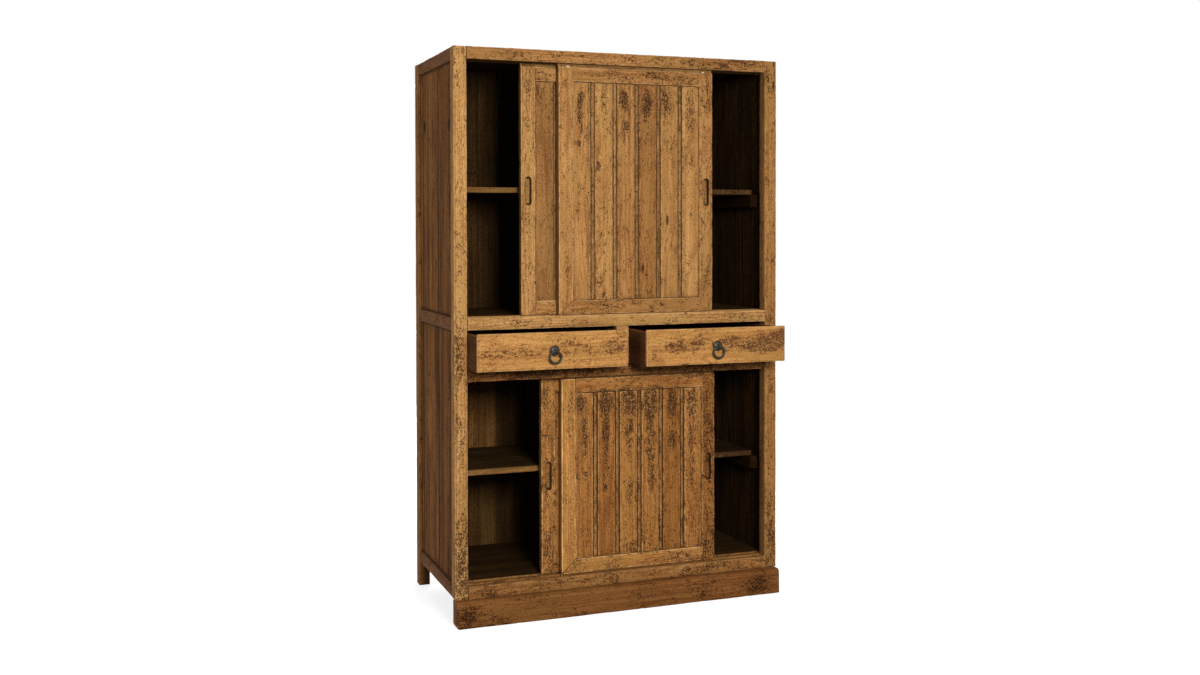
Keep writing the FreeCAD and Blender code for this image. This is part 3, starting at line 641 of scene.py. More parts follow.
# The painted shadow high on this rail's front stands for the shadow that the drawers above cast on it.
front_rail(
    "rail_under_drawers", "lower_waist_rail", *UNDER_DRAWERS, False, painted_upper_shadow=0.6, soil=0.52, tone=0.62,
    pools=[((-0.3, 0, 0.82), (0.36, 0.03, 0.035), 0.85), ((0.25, 0, 0.82), (0.34, 0.03, 0.035), 0.75)],
)
front_rail(
    "sill_timber", "sill_rail", *SILL, True, soil=0.34, tone=0.75,
    pools=[
        ((-0.5, 0, 0.11), (0.1, 0.1, 0.05), 0.6),
        ((0.24, 0, 0.112), (0.03, 0.02, 0.015), 0.9),
        ((0.35, 0, 0.112), (0.16, 0.03, 0.02), 0.7),
        ((-0.2, 0, 0.112), (0.16, 0.03, 0.015), 0.45),
    ],
)

low, high = (-HALF_DIVIDER, CASE_FRONT, UNDER_DRAWERS[1]), (HALF_DIVIDER, FRONT_POST_BACK, OVER_DRAWERS[0])
divider = board(low, high, ALONG_Z, arris=0.0012, step=0.01, soil=0.25)
fitted("divider_timber", "drawer_divider", frame_finish, [divider])


# Side frames. On each side three rails run from the front to the rear post, and softwood planks with dark
# seams stand in their grooves, set back a little from the frame.

plank_finish = old_wood(
    "plank_wood_finish",
    pale=(0.45, 0.2, 0.058), honey=(0.265, 0.104, 0.028),
    brown=(0.08, 0.026, 0.007), worn=(0.38, 0.18, 0.06),
    wear_strength=0.25, dirt=0.85, bands=0.9, shine=0.03, roughness=0.68,
)
SIDE_RAILS = {"top": TOP_RAIL, "waist": (0.97, 1.012), "bottom": SILL}
PLANK_BAYS, IN_GROOVE = ((1.006, 1.864), (0.124, 0.976)), 0.006
SIDE_SEAMS = (0.2624, 0.4944)
# Where a knot shows on each side: y, z, reach in y, reach in z.
KNOTS = {
    "left": [(0.469, 1.667, 0.022, 0.03), (0.104, 1.65, 0.021, 0.034)],
    "right": [(0.372, 0.56, 0.021, 0.03), (0.18, 1.31, 0.018, 0.026)],
}


def loose_tongue(low, high, grain):
    """A thin dark tongue that fills the seam between two boards."""
    return board(low, high, grain, arris=0.0005, step=0.04, wear=0.0, grime=0.95)


for side in ("left", "right"):
    for level, (bottom, top) in SIDE_RAILS.items():
        low, high = mirrored(side, (0.557, FRONT_POST_BACK, bottom), (0.587, REAR_POST_FRONT, top))
        rail = board(low, high, ALONG_Y, arris=0.0012, step=0.011, soil=0.34, tone=0.46, grime=smoke_and_painted_shade)
        fitted(f"{side}_{level}_side_rail", f"{side}_{level}_rail", frame_finish, [rail])
    planks = []
    for bottom, top in PLANK_BAYS:
        seen_foot, seen_head = bottom + IN_GROOVE, top - IN_GROOVE
        opening = mirrored(side, (0.5, FRONT_POST_BACK, seen_foot), (0.65, REAR_POST_FRONT, seen_head))

        def shaded(place):
            """Smoke and painted shade inside; outside, a painted shadow of the front post, painted shade
            along the frame, the dirt in the seams, and the knots.
            """
            from_side = min(place.y - FRONT_POST_BACK, REAR_POST_FRONT - place.y)
            from_frame = min(from_side, place.z - bottom - IN_GROOVE, seen_head - place.z)
            seam = 0.85 * fading(min(abs(place.y - at) for at in SIDE_SEAMS), 0.011, 0.003)
            # A painted shadow of the front post on the planks beside it.
            post_shadow = 0.6 * fading(place.y, 0.122, 0.09)
            knots = max(
                fading(math.hypot((place.y - y) / across, (place.z - z) / along), 1.0, 0.5)
                for y, z, across, along in KNOTS[side]
            )
            # The band along the frame is painted shade, where the planks stand back in its grooves.
            outside = max(post_shadow, 0.95 * fading(from_frame, 0.014, 0), seam, knots)
            return max(smoke_and_painted_shade(place), outside * (abs(place.x) > 0.572))

        # Their edge dirt is measured from the opening, so it also lays painted shade on the planks beside the
        # frame.
        for front, back in ((0.04, 0.262), (0.2628, 0.494), (0.4948, 0.542)):
            low, high = mirrored(side, (0.567, front, bottom), (0.579, back, top))
            planks.append(board(
                low, high, ALONG_Z, arris=0.001, step=0.007, soil=0.3, wear=0.6, grime=shaded,
                opening=opening,
            ))
        for seam in SIDE_SEAMS:
            low, high = mirrored(side, (0.5715, seam - 0.006, bottom), (0.5745, seam + 0.006, top))
            planks.append(loose_tongue(low, high, ALONG_Z))
    fitted(f"{side}_side_boards", f"{side}_side_planks", plank_finish, planks)


# Back. Six upright planks, tongued together in the rebates of the rear posts, with three rails behind
# them. They were never waxed on the outside, so they are plainer and darker.

back_finish = old_wood(
    "inner_wood_finish",
    pale=(0.262, 0.132, 0.038), honey=(0.185, 0.087, 0.023),
    brown=(0.108, 0.046, 0.012), worn=(0.266, 0.136, 0.04),
    wear_strength=0.2, bands=0.5, roughness=0.75, shine=0.03,
)
BACK_SEAMS = (-0.556, -0.366, -0.183, 0.0, 0.183, 0.366, 0.556)
BACK_FOOT, BACK_HEAD, BACK_OUTSIDE, HALF_SEAM = 0.088, 1.882, 0.548, 0.0006

rear_rails = [
    board(
        (-REAR_POST_INSIDE, BACK_OUTSIDE, bottom), (REAR_POST_INSIDE, CASE_BACK, top), ALONG_X,
        arris=0.0012, step=0.013, soil=0.25, tone=0.78,
    )
    for bottom, top in (TOP_RAIL, OVER_DRAWERS, SILL)
]
fitted("rear_rail_timbers", "rear_rails", frame_finish, rear_rails)


def seam_dirt_and_inner_shade(place):
    """Smoke and painted shade inside, and dirt in the seams outside."""
    from_seam = min(abs(place.x - seam) for seam in BACK_SEAMS)
    return max(smoke_and_painted_shade(place), 0.8 * fading(from_seam, 0.005, 0.002) * (place.y > 0.5415))


back_boards = [
    board(
        (left + HALF_SEAM, REAR_POST_FRONT, BACK_FOOT), (right - HALF_SEAM, BACK_OUTSIDE, BACK_HEAD), ALONG_Z,
        arris=0.0015, step=0.014, soil=0.24, wear=0.6, grime=seam_dirt_and_inner_shade,
    )
    for left, right in zip(BACK_SEAMS, BACK_SEAMS[1:])
]
back_boards += [
    loose_tongue((seam - 0.007, 0.5405, BACK_FOOT), (seam + 0.007, 0.5435, BACK_HEAD), ALONG_Z)
    for seam in BACK_SEAMS[1:-1]
]
fitted("back_boards", "back_planks", back_finish, back_boards)


# Top. Two wide softwood boards, tongued together, lie between the top rails, a little below their upper
# faces. They are as dark as the side planks.

TOPS_REACH = 0.563

tops = [
    board(
        (-TOPS_REACH, front, 1.882), (TOPS_REACH, back, 1.896), ALONG_X,
        arris=0.001, step=0.015, soil=0.2, tone=0.9, grime=smoke_and_painted_shade,
    )
    for front, back in ((0.078, 0.3155), (0.3165, 0.554))
]
tops.append(loose_tongue((-TOPS_REACH, 0.309, 1.8875), (TOPS_REACH, 0.323, 1.8905), ALONG_X))
fitted("top_planks", "top_boards", plank_finish, tops)


# Floors and shelves. Dark unwaxed boards, darkened further with painted shade, that lie on battens inside:
# the floors of the two cupboards, the deck under the drawers with its guides, and one shelf in each cupboard
# on a pair of rails.

for name, node, reach, bottom, top in (
    ("upper_floor", "upper_floor_boards", 0.557, 1.000, 1.012),
    ("drawer_deck", "drawer_deck_boards", 0.567, 0.831, 0.843),
    ("lower_floor", "lower_floor_boards", 0.557, 0.118, 0.13),
):
    boards = [
        board((-reach, front, bottom), (reach, back, top), ALONG_X, arris=0.0008, step=0.016, grime=0.9)
        for front, back in ((RAIL_BACK, 0.2345), (0.235, 0.3855), (0.386, REAR_POST_FRONT))
    ]
    fitted(name, node, back_finish, boards)


def shelf_grime(place):
    """Smoke and painted shade on a shelf: none at its lit front edge on the left, half at its front edge on
    the right, and deep behind, deepest on the right.
    """
    if place.y < 0.104:
        return 0.0 if place.x < 0 else 0.5
    return 0.92 if place.x < 0 else 0.97


for name, node, bottom, top in (
    ("upper_shelf_board", "upper_shelf", 1.425, 1.444),
    ("lower_shelf_board", "lower_shelf", 0.475, 0.494),
):
    shelf = board(
        (-0.543, 0.1, bottom), (0.543, REAR_POST_FRONT, top), ALONG_X, step=0.015, butted=False, tone=1.25,
        pools=[((0.45, 0.1, top), (0.3, 0.1, 0.2), 1.0)], grime=shelf_grime,
    )
    fitted(name, node, back_finish, [shelf])


def batten(left, right, bottom, top, **age):
    """A batten that runs from the front rails to the back."""
    return board((left, RAIL_BACK, bottom), (right, REAR_POST_FRONT, top), ALONG_Y, step=0.018, **age)


# The battens are darkened with smoke and painted shade, as everything inside the case.
battens = {"shelf_rails": [], "floor_bearers": [], "drawer_guides": []}
for left, right in ((-0.567, -0.529), (0.529, 0.567)):
    for bottom, top in ((1.381, 1.425), (0.431, 0.475)):
        own_tone = 0.5 * draw.uniform(0.9, 1.1)
        battens["shelf_rails"].append(batten(left, right, bottom, top, grime=0.93, tone=own_tone))
for top, reach in ((1.000, 0.557), (0.831, 0.567), (0.118, 0.557)):
    for left, right in ((-reach, 0.02 - reach), (reach - 0.02, reach)):
        battens["floor_bearers"].append(batten(left, right, top - 0.02, top, grime=0.75))
for left, right in ((-0.567, -FRONT_POST_INSIDE), (-HALF_DIVIDER, HALF_DIVIDER), (FRONT_POST_INSIDE, 0.567)):
    battens["drawer_guides"].append(batten(left, right, 0.843, 0.863, grime=0.75))
for node, boards in battens.items():
    fitted(node.replace("_", "_inner_"), node, back_finish, boards)


# Sliding doors. Each is a frame of two stiles and two rails round six raised boards with a narrow bead
# between neighbours, on a thin sheet. The left pair runs in the rear grooves, the right pair in the front
# ones.

DOOR_FINISHES = {
    "upper": old_wood(
        "upper_door_finish", wear_strength=0.9,
        pale=(0.53, 0.282, 0.102), honey=(0.4, 0.192, 0.058),
        brown=(0.24, 0.1, 0.028), worn=(0.62, 0.36, 0.14),
    ),
    "lower": old_wood(
        "lower_door_finish", wear_strength=0.9,
        pale=(0.452, 0.204, 0.056), honey=(0.328, 0.131, 0.031),
        brown=(0.187, 0.063, 0.014), worn=(0.64, 0.35, 0.125),
    ),
}
DOOR_WIDTH, DOOR_THICKNESS, STILE, RAIL = 0.569, 0.032, 0.05, 0.048
DOOR_FACE = {"rear": 0.049, "front": 0.013}
# Where the doors of a level end, below and above, and how far their tongues reach.
DOOR_ENDS = {"upper": (1.014, 1.848, 1.0073, 1.864), "lower": (0.136, 0.796, 0.1253, 0.808)}
SEAM, RAISED_WIDTH, HALF_BEAD = 0.0004, 0.0645, 0.005
RECESS_WIDTH, RECESS_LENGTH, RECESS_DEPTH, RECESS_MARGIN = 0.021, 0.095, 0.01, 0.012
DOOR_ARRIS, CORNER_ZONE = 0.0018, 0.003

# tones are those of the left stile, the right stile, the top rail and the bottom rail, boards those of
# the raised boards, corners the radii that knocks have left on the two lower corners, soils how pitted
# the left stile, the right stile, the rails and the boards are all over, and dull how grimy the boards
# are.
DOORS = {
    "upper_rear": dict(
        left=-0.346, tones=(1.02, 0.95, 0.95, 0.98), corners=(0.003, 0.003), dull=0.18,
        boards=(0.88, 1.00, 1.06, 1.02, 1.06, 1.02), soils=(0.28, 0.34, 0.34, 0.17),
    ),
    "upper_front": dict(
        left=-0.225, tones=(0.99, 0.87, 0.87, 0.86), corners=(0.004, 0.003), dull=0.0,
        boards=(0.95, 1.02, 0.85, 0.74, 0.92, 1.00), soils=(0.22, 0.34, 0.32, 0.24),
    ),
    "lower_rear": dict(
        left=-0.277, tones=(1.22, 1.00, 0.98, 0.98), corners=(0.005, 0.004), dull=0.0,
        boards=(0.9, 0.85, 0.92, 0.88, 0.9, 0.86), soils=(0.46, 0.42, 0.42, 0.3),
    ),
    "lower_front": dict(
        left=-0.217, tones=(1.34, 0.85, 1.05, 1.3), corners=(0.01, 0.006), dull=0.0,
        boards=(1.1, 0.92, 1.04, 1.00, 0.82, 1.12), soils=(0.1, 0.56, 0.38, 0.26),
    ),
}

# Where each door is stained: x, z, reach in x and reach in z in millimetres, and the strength.
PANEL_STAINS = {
    "upper_rear": [(-276, 1770, 40, 100, 0.52), (-100, 1740, 200, 100, 0.60)],
    "upper_front": [
        (-146, 1705, 16, 130, 1.10), (-150, 1600, 20, 60, 0.50), (-157, 1593, 12, 14, 1.30),
        (-60, 1700, 24, 150, 0.62), (-81, 1517, 13, 22, 1.10), (12, 1745, 22, 60, 1.15),
        (12, 1650, 27, 90, 0.65), (98, 1722, 24, 85, 1.15), (102, 1630, 30, 80, 0.50),
        (172, 1740, 28, 90, 0.80), (166, 1667, 12, 16, 0.90), (255, 1730, 30, 100, 0.75),
        (266, 1545, 10, 55, 0.95), (60, 1740, 260, 110, 0.50),
    ],
    "lower_rear": [(-100, 700, 150, 80, 0.70)],
    "lower_front": [
        (-146, 712, 36, 55, 1.05), (-133, 610, 18, 140, 1.10), (-159, 460, 11, 13, 1.40),
        (-132, 471, 9, 11, 1.30), (-55, 705, 34, 75, 1.40), (-58, 600, 24, 110, 1.05),
        (-58, 490, 18, 90, 0.70), (-58, 417, 12, 18, 1.10), (28, 705, 36, 75, 1.20),
        (30, 590, 28, 130, 0.80), (32, 400, 20, 90, 0.75), (108, 700, 36, 90, 1.35),
        (110, 570, 26, 140, 0.95), (112, 450, 22, 90, 0.85), (190, 700, 32, 80, 1.05),
        (190, 560, 24, 50, 1.10), (270, 690, 28, 90, 1.15), (268, 570, 22, 150, 1.00),
        (268, 440, 18, 60, 0.80), (60, 690, 240, 90, 0.55), (60, 200, 240, 60, 0.50),
    ],
}
STILE_STAINS = {
    "upper_rear": [(-321, 1800, 30, 110, 0.60), (-321, 1660, 22, 90, 0.42), (-330, 1200, 20, 300, 0.30)],
    "upper_front": [(319, 1780, 30, 110, 0.60), (319, 1300, 20, 200, 0.35), (-205, 1700, 20, 60, 0.40)],
    "lower_rear": [(-262, 755, 18, 30, 1.10), (-255, 600, 30, 170, 0.60), (-255, 210, 30, 90, 0.80)],
    "lower_front": [(-190, 680, 30, 110, 0.55), (327, 600, 32, 280, 0.80), (320, 180, 50, 70, 0.70)],
}
RAIL_STAINS = {
    "upper_rear": [(-270, 1820, 60, 30, 0.60)],
    "upper_front": [(50, 1830, 340, 40, 0.55), (200, 1815, 160, 30, 0.70), (100, 1040, 300, 30, 0.45)],
    "lower_rear": [(-200, 770, 100, 30, 0.50)],
    "lower_front": [(60, 752, 260, 12, 1.00), (60, 775, 300, 30, 0.50), (200, 158, 160, 30, 0.65)],
}


def at_depth(stains, face):
    """Stains given in millimetres, as pools on a face."""
    return [
        ((x / 1000, face, z / 1000), (across / 1000, 0.05, along / 1000), strength)
        for x, z, across, along, strength in stains
    ]


def parted(timber, axis, *places):
    """Lines across a timber where a cell has to end."""
    for at in places:
        place, normal = [0, 0, 0], [0, 0, 0]
        place[axis], normal[axis] = at, 1
        everything = timber.verts[:] + timber.edges[:] + timber.faces[:]
        bmesh.ops.bisect_plane(timber, geom=everything, dist=1e-6, plane_co=place, plane_no=normal)


def parted_at_mitre(timber, left, foot, width, height):
    """Six lines each way over a mitre, so that its dirt has cells of its own."""
    for part in range(1, 7):
        parted(timber, ALONG_X, left + part * width / 6)
        parted(timber, ALONG_Z, foot + part * height / 6)


def with_finger_recess(timber, x, face, z):
    """Sinks the oblong recess with round ends into a stile's face."""
    half_width, half_length = RECESS_WIDTH / 2, RECESS_LENGTH / 2
    parted(timber, ALONG_X, x - half_width, x + half_width)
    parted(timber, ALONG_Z, z - half_length, z + half_length)
    parted(timber, ALONG_Z, z - half_length - RECESS_MARGIN, z + half_length + RECESS_MARGIN)
    mouth = [
        part for part in timber.faces
        if part.normal.y < -0.9
        and abs(part.calc_center_median().x - x) < half_width
        and abs(part.calc_center_median().z - z) < half_length
    ]
    sunk = bmesh.ops.extrude_discrete_faces(timber, faces=mouth)["faces"]
    bmesh.ops.translate(timber, vec=(0, RECESS_DEPTH, 0), verts=sunk[0].verts[:])
    corners = [
        edge for edge in timber.edges
        if runs_along(edge, ALONG_Y) and abs(edge.calc_length() - RECESS_DEPTH) < 1e-5
        and abs(edge.verts[0].co.x - x) < half_width + 1e-5
    ]
    rounded_over(timber, corners, half_width - 0.0001, 8)
    for level, radius in ((face, 0.0013), (face + RECESS_DEPTH, 0.003)):
        rim = [
            edge for edge in timber.edges
            if all(abs(v.co.y - level) < 1e-5 for v in edge.verts)
            and any(abs(part.normal.y) < 0.5 for part in edge.link_faces)
            and all(abs(v.co.x - x) < half_width + 0.001 for v in edge.verts)
            and all(abs(v.co.z - z) < half_length + 0.001 for v in edge.verts)
        ]
        rounded_over(timber, rim, radius)


def knocked(timber, x, z, radius):
    """Rounds the edge that runs through a door at one of its corners."""
    heel = [
        edge for edge in timber.edges
        if all(abs(v.co.x - x) < 1e-5 and abs(v.co.z - z) < 1e-5 for v in edge.verts)
    ]
    rounded_over(timber, heel, radius, 4)


def mitred(left, foot, radius, face, back, reach, is_rail):
    """A stile or a rail that meets its neighbour in a mitre at the door's lower left corner, which knocks
    have rounded. reach is how far it goes along."""
    middle = (left + radius, foot + radius)
    angles = [math.radians(180 + 45 * is_rail + 15 * step) for step in range(4)]
    arc = [(middle[0] + radius * math.cos(turn), middle[1] + radius * math.sin(turn)) for turn in angles]
    inner = (left + STILE, foot + RAIL)
    if is_rail:
        outline = [inner, *arc, (reach, foot), (reach, foot + RAIL)]
    else:
        outline = [(left + STILE, reach), (left, reach), *arc, inner]
    return drawn_out(outline, ALONG_Y, face, back)


def beside_mitre(place, left, foot):
    """The dirt in the open line of a mitre."""
    along, up = (place.x - left) / STILE, (place.z - foot) / RAIL
    return 0.9 * (abs(along - up) < 0.013 and along < 1.01)


def recess_dirt_and_shade(place, x, face, z):
    """Finger dirt and painted shade on the walls of the recess and the edge of its floor, and a little in the
    middle of its floor.
    """
    beyond = max(0.0, abs(place.z - z) - (RECESS_LENGTH - RECESS_WIDTH) / 2)
    from_middle = math.hypot(place.x - x, beyond)
    depth = place.y - face
    if from_middle > RECESS_WIDTH / 2 + 0.0008 or depth < 0.0003 or depth > RECESS_DEPTH + 0.0005:
        return 0.0
    return 0.16 if from_middle < 0.0056 else 0.97


def seam_dirt_and_shade(place, low, high):
    """The dirt and painted shade in the seams round a raised board or a bead, from its own two corners."""
    from_side = min(place.x - low[0], high[0] - place.x, place.z - low[2], high[2] - place.z)
    return 0.42 * fading(from_side, 0.0014, 0.0003)


for door, size in DOORS.items():
    level, track = door.split("_")
    finish, face, left = DOOR_FINISHES[level], DOOR_FACE[track], size["left"]
    foot, head, tongue_foot, tongue_head = DOOR_ENDS[level]
    right, back = left + DOOR_WIDTH, face + DOOR_THICKNESS
    left_tone, right_tone, top_tone, bottom_tone = size["tones"]
    left_soil, right_soil, rail_soil, board_soil = size["soils"]
    inside_left, inside_right, panel_foot, panel_head = left + STILE, right - STILE, foot + RAIL, head - RAIL
    tongue_front, tongue_back = face + 0.008, face + 0.024
    tongue_reaches = ((tongue_foot, foot + 0.001), (head - 0.001, tongue_head))
    pull_side = "left" if track == "rear" else "right"

    stains = at_depth(STILE_STAINS[door], face)
    for side, start, outer, tone, soil, radius in (
        ("left", left, left, left_tone, left_soil, size["corners"][0]),
        ("right", inside_right, right, right_tone, right_soil, size["corners"][1]),
    ):
        kind = "pull" if side == pull_side else "plain"
        low, high = (start, face, foot), (start + STILE, back, head)
        middle, waist = start + STILE / 2, (foot + head) / 2
        mitre_here = track == "front" and side == "left"
        if mitre_here:
            stile = mitred(left, foot, radius, face, back, head, is_rail=False)
        else:
            stile = squared(low, high)
            knocked(stile, outer, foot, radius)
        eased(stile, DOOR_ARRIS, ALONG_Z, False)
        if mitre_here:
            parted_at_mitre(stile, left, foot, STILE - CORNER_ZONE, RAIL + CORNER_ZONE)
        parted(stile, ALONG_X, outer + math.copysign(CORNER_ZONE + radius, middle - outer))
        parted(stile, ALONG_Z, foot + CORNER_ZONE + radius)
        if kind == "pull":
            with_finger_recess(stile, middle, face, waist)
            for end in (-1, 1):
                parted(stile, ALONG_X, middle + end * 0.0045)
                parted(stile, ALONG_Z, waist + end * (RECESS_LENGTH - RECESS_WIDTH) / 2)
        divided(stile, 0.009)

        def darkened(place):
            """The dark outer side of the stile, the dirt and painted shade in its recess, and the line of its
            mitre.
            """
            in_recess = recess_dirt_and_shade(place, middle, face, waist) if kind == "pull" else 0.0
            on_side = abs(place.x - outer) < 1e-5 and place.y > face + 0.003
            in_mitre = mitre_here and beside_mitre(place, left, foot)
            return max(in_recess, 0.5 * on_side, in_mitre)

        aged(
            stile, low, high, ALONG_Z, butted=False, wear=1.2, pools=stains, soil=soil,
            tone=tone * draw.uniform(0.98, 1.02), grime=darkened,
        )
        # The tongues that run in the rails' grooves are darkened by half with painted shade.
        tongues = [
            board((start, tongue_front, bottom), (start + STILE, tongue_back, top), ALONG_Z, grime=0.5)
            for bottom, top in tongue_reaches
        ]
        timbers = [as_mesh(stile), *tongues]
        fitted(f"{door}_{kind}_stile_timber", f"{door}_door_{kind}_stile", finish, timbers)

    stains = at_depth(RAIL_STAINS[door], face)
    for kind, bottom, top, reach, tone in (
        ("bottom", foot, panel_foot, tongue_reaches[0], bottom_tone),
        ("top", panel_head, head, tongue_reaches[1], top_tone),
    ):
        mitre_here = track == "front" and kind == "bottom"
        low, high = (left if mitre_here else inside_left, face, bottom), (inside_right, back, top)
        if mitre_here:
            rail = mitred(left, foot, size["corners"][0], face, back, inside_right, is_rail=True)
        else:
            rail = squared(low, high)
        eased(rail, 0.0016, ALONG_X, not mitre_here)
        if mitre_here:
            parted_at_mitre(rail, left, bottom, STILE + CORNER_ZONE, RAIL - CORNER_ZONE)
        divided(rail, 0.009)
        aged(
            rail, low, high, ALONG_X, wear=1.2, pools=stains, soil=rail_soil, tone=tone,
            grime=lambda place: beside_mitre(place, left, foot) if mitre_here else 0.0,
        )
        # This tongue is darkened by half with painted shade, as it runs in the rail's groove.
        low, high = (inside_left, tongue_front, reach[0]), (inside_right, tongue_back, reach[1])
        timbers = [as_mesh(rail), board(low, high, ALONG_X, grime=0.5)]
        fitted(f"{door}_{kind}_rail_timber", f"{door}_door_{kind}_rail", finish, timbers)

    stains = at_depth(PANEL_STAINS[door], face)

    def panel_board(low, high, extra_soil=0.0, **age):
        """A raised board or a bead, with dirt and painted shade in the seams round it."""
        return board(
            low, high, ALONG_Z, step=0.008, pools=stains,
            soil=lambda place: board_soil + extra_soil + seam_dirt_and_shade(place, low, high),
            grime=lambda place: max(size["dull"], seam_dirt_and_shade(place, low, high)), **age,
        )

    # The thin sheet behind the boards shows only in the grooves between them, and its grime is dirt and
    # painted shade there.
    low = (inside_left - 0.008, face + 0.011, panel_foot - 0.008)
    high = (inside_right + 0.008, face + 0.019, panel_head + 0.008)
    meshes = [board(low, high, ALONG_Z, arris=0.0005, step=0.02, grime=0.7)]
    spacing = (inside_right - inside_left - RAISED_WIDTH - 2 * SEAM) / 5
    for number, tone in enumerate(size["boards"]):
        start = inside_left + SEAM + number * spacing
        low = (start, face + 0.004, panel_foot + SEAM)
        high = (start + RAISED_WIDTH, face + 0.0115, panel_head - draw.uniform(0.001, 0.0025))
        meshes.append(panel_board(low, high, arris=0.0024, butted=False, wear=1.1, tone=tone))
    for number, tone in enumerate(size["boards"][:5]):
        middle = inside_left + SEAM + RAISED_WIDTH / 2 + (number + 0.5) * spacing
        low = (middle - HALF_BEAD, face + 0.0065, panel_foot)
        high = (middle + HALF_BEAD, face + 0.0115, panel_head)
        meshes.append(panel_board(low, high, 0.1, arris=0.0022, tone=tone * 0.88))
    fitted(f"{door}_raised_boards", f"{door}_door_panel", finish, meshes)


# Drawers. Each is a thick front with its sides let into the ends, a back and a thin bottom board. The
# fronts are the palest wood of the cabinet, with a band of dark stains across the middle.

drawer_finish = old_wood(
    "drawer_wood_finish",
    pale=(0.57, 0.295, 0.094), honey=(0.445, 0.208, 0.058),
    brown=(0.285, 0.118, 0.03), worn=(0.64, 0.38, 0.145),
    stained=(0.1, 0.034, 0.013),
)
drawer_side_finish = old_wood(
    "drawer_side_finish",
    pale=(0.15, 0.062, 0.024), honey=(0.092, 0.036, 0.014),
    brown=(0.05, 0.018, 0.008), worn=(0.2, 0.095, 0.04),
    wear_strength=0.3, roughness=0.66, shine=0.03,
)
# The left end, the right end and the face of each drawer front, with the drawers drawn out.
DRAWERS = {"left": (-0.5425, -0.024, -0.112), "right": (0.024, 0.5425, -0.155)}
FRONT_FOOT, FRONT_HEAD, FRONT_THICKNESS, DRAWER_DEPTH = 0.845, 0.9675, 0.02, 0.5355
WALL_FOOT, WALL_HEAD, WALL = 0.8433, 0.9613, 0.012
# Where each front is stained: x, z, reach in x and reach in z in millimetres, and the strength.
FRONT_STAINS = {
    "left": [
        (-500, 900, 50, 45, 0.70), (-450, 912, 50, 30, 0.58), (-383, 909, 45, 32, 0.64),
        (-330, 907, 40, 28, 0.60), (-225, 930, 70, 36, 0.66), (-160, 905, 60, 38, 0.58),
        (-85, 912, 90, 40, 0.70), (-45, 935, 30, 40, 0.60), (-280, 905, 330, 45, 0.40),
    ],
    "right": [
        (55, 891, 40, 25, 0.50), (130, 909, 60, 36, 0.85), (150, 925, 35, 28, 1.00),
        (210, 911, 50, 32, 0.90), (330, 918, 70, 34, 0.95), (400, 905, 70, 32, 1.05),
        (470, 905, 80, 36, 1.35), (515, 922, 50, 50, 1.10), (330, 910, 290, 38, 0.60),
    ],
}

for side, (left, right, face) in DRAWERS.items():
    behind, back, let_in = face + FRONT_THICKNESS, face + DRAWER_DEPTH, face + WALL
    outline = [
        (left, face), (right, face), (right, let_in), (right - WALL, let_in),
        (right - WALL, behind), (left + WALL, behind), (left + WALL, let_in), (left, let_in),
    ]
    front = drawn_out(outline, ALONG_Z, FRONT_FOOT, FRONT_HEAD)
    right_end = [
        edge for edge in front.edges
        if runs_along(edge, ALONG_Z)
        and abs(edge.verts[0].co.x - right) < 1e-5
        and edge.verts[0].co.y < face + 1e-5
    ]
    rounded_over(front, right_end, 0.004, 3)
    eased(front, 0.0016, ALONG_X, False)
    divided(front, 0.008)
    aged(
        front, (left, face, FRONT_FOOT), (right, behind, FRONT_HEAD), ALONG_X, butted=False, wear=1.2,
        pools=at_depth(FRONT_STAINS[side], face), soil=0.15, tone=0.98,
    )
    fitted(f"{side}_drawer_face", f"{side}_drawer_front", drawer_finish, [as_mesh(front)])
    walls = []
    for start, end in ((left, left + WALL), (right - WALL, right)):
        # A dark spot painted on the walls of the left drawer, near its front, stands for the shade in a small
        # hole there.
        painted_hole = [((start, face + 0.1, 0.906), (0.05, 0.011, 0.008), 3.0)] if side == "left" else []
        low, high = (start, let_in, WALL_FOOT), (end, back, WALL_HEAD)
        walls.append(board(low, high, ALONG_Y, arris=0.001, step=0.006, soil=0.3, pools=painted_hole))
    low, high = (left + WALL, back - WALL, WALL_FOOT), (right - WALL, back, WALL_HEAD)
    walls.append(board(low, high, ALONG_X, arris=0.001, step=0.014, soil=0.2))
    fitted(f"{side}_drawer_box", f"{side}_drawer_walls", drawer_side_finish, walls)
    low, high = (left + 0.007, behind - 0.005, 0.8513), (right - 0.007, back - 0.007, 0.8593)
    bottom = board(low, high, ALONG_X, arris=0.0008, step=0.02, soil=0.15)
    fitted(f"{side}_drawer_floor", f"{side}_drawer_bottom", drawer_side_finish, [bottom])


# Ring pulls. A hammered iron dome holds an eye, its shank goes through the drawer front to a nut, and a
# forged ring hangs from the eye.

iron_finish, tree, shader = new_finish("hammered_iron")
place = add_node(tree, "TexCoord").outputs["Object"]
rust = fade(tree, cloud(tree, place, (120, 120, 120), 4, 0.65), 0.48, 0.66)
rubbed = fade(tree, cloud(tree, place, (420, 420, 420), 3), 0.5, 0.72)
colour = mixed(tree, rust, (0.02, 0.018, 0.011), (0.026, 0.016, 0.008))
colour = mixed(tree, times(tree, rubbed, 0.38), colour, (0.27, 0.225, 0.15))
tree.links.new(colour, shader.inputs["Base Color"])
tree.links.new(fade(tree, rust, 0.0, 1.0, 0.7, 0.25), shader.inputs["Metallic"])
tree.links.new(fade(tree, rust, 0.0, 1.0, 0.36, 0.62), shader.inputs["Roughness"])
shader.inputs["Specular IOR Level"].default_value = 0.25
dents = cloud(tree, place, (260, 260, 260), 2)
bump = add_node(tree, "Bump", {"Strength": 0.7, "Distance": 0.0012, "Height": dents})
tree.links.new(bump.outputs["Normal"], shader.inputs["Normal"])

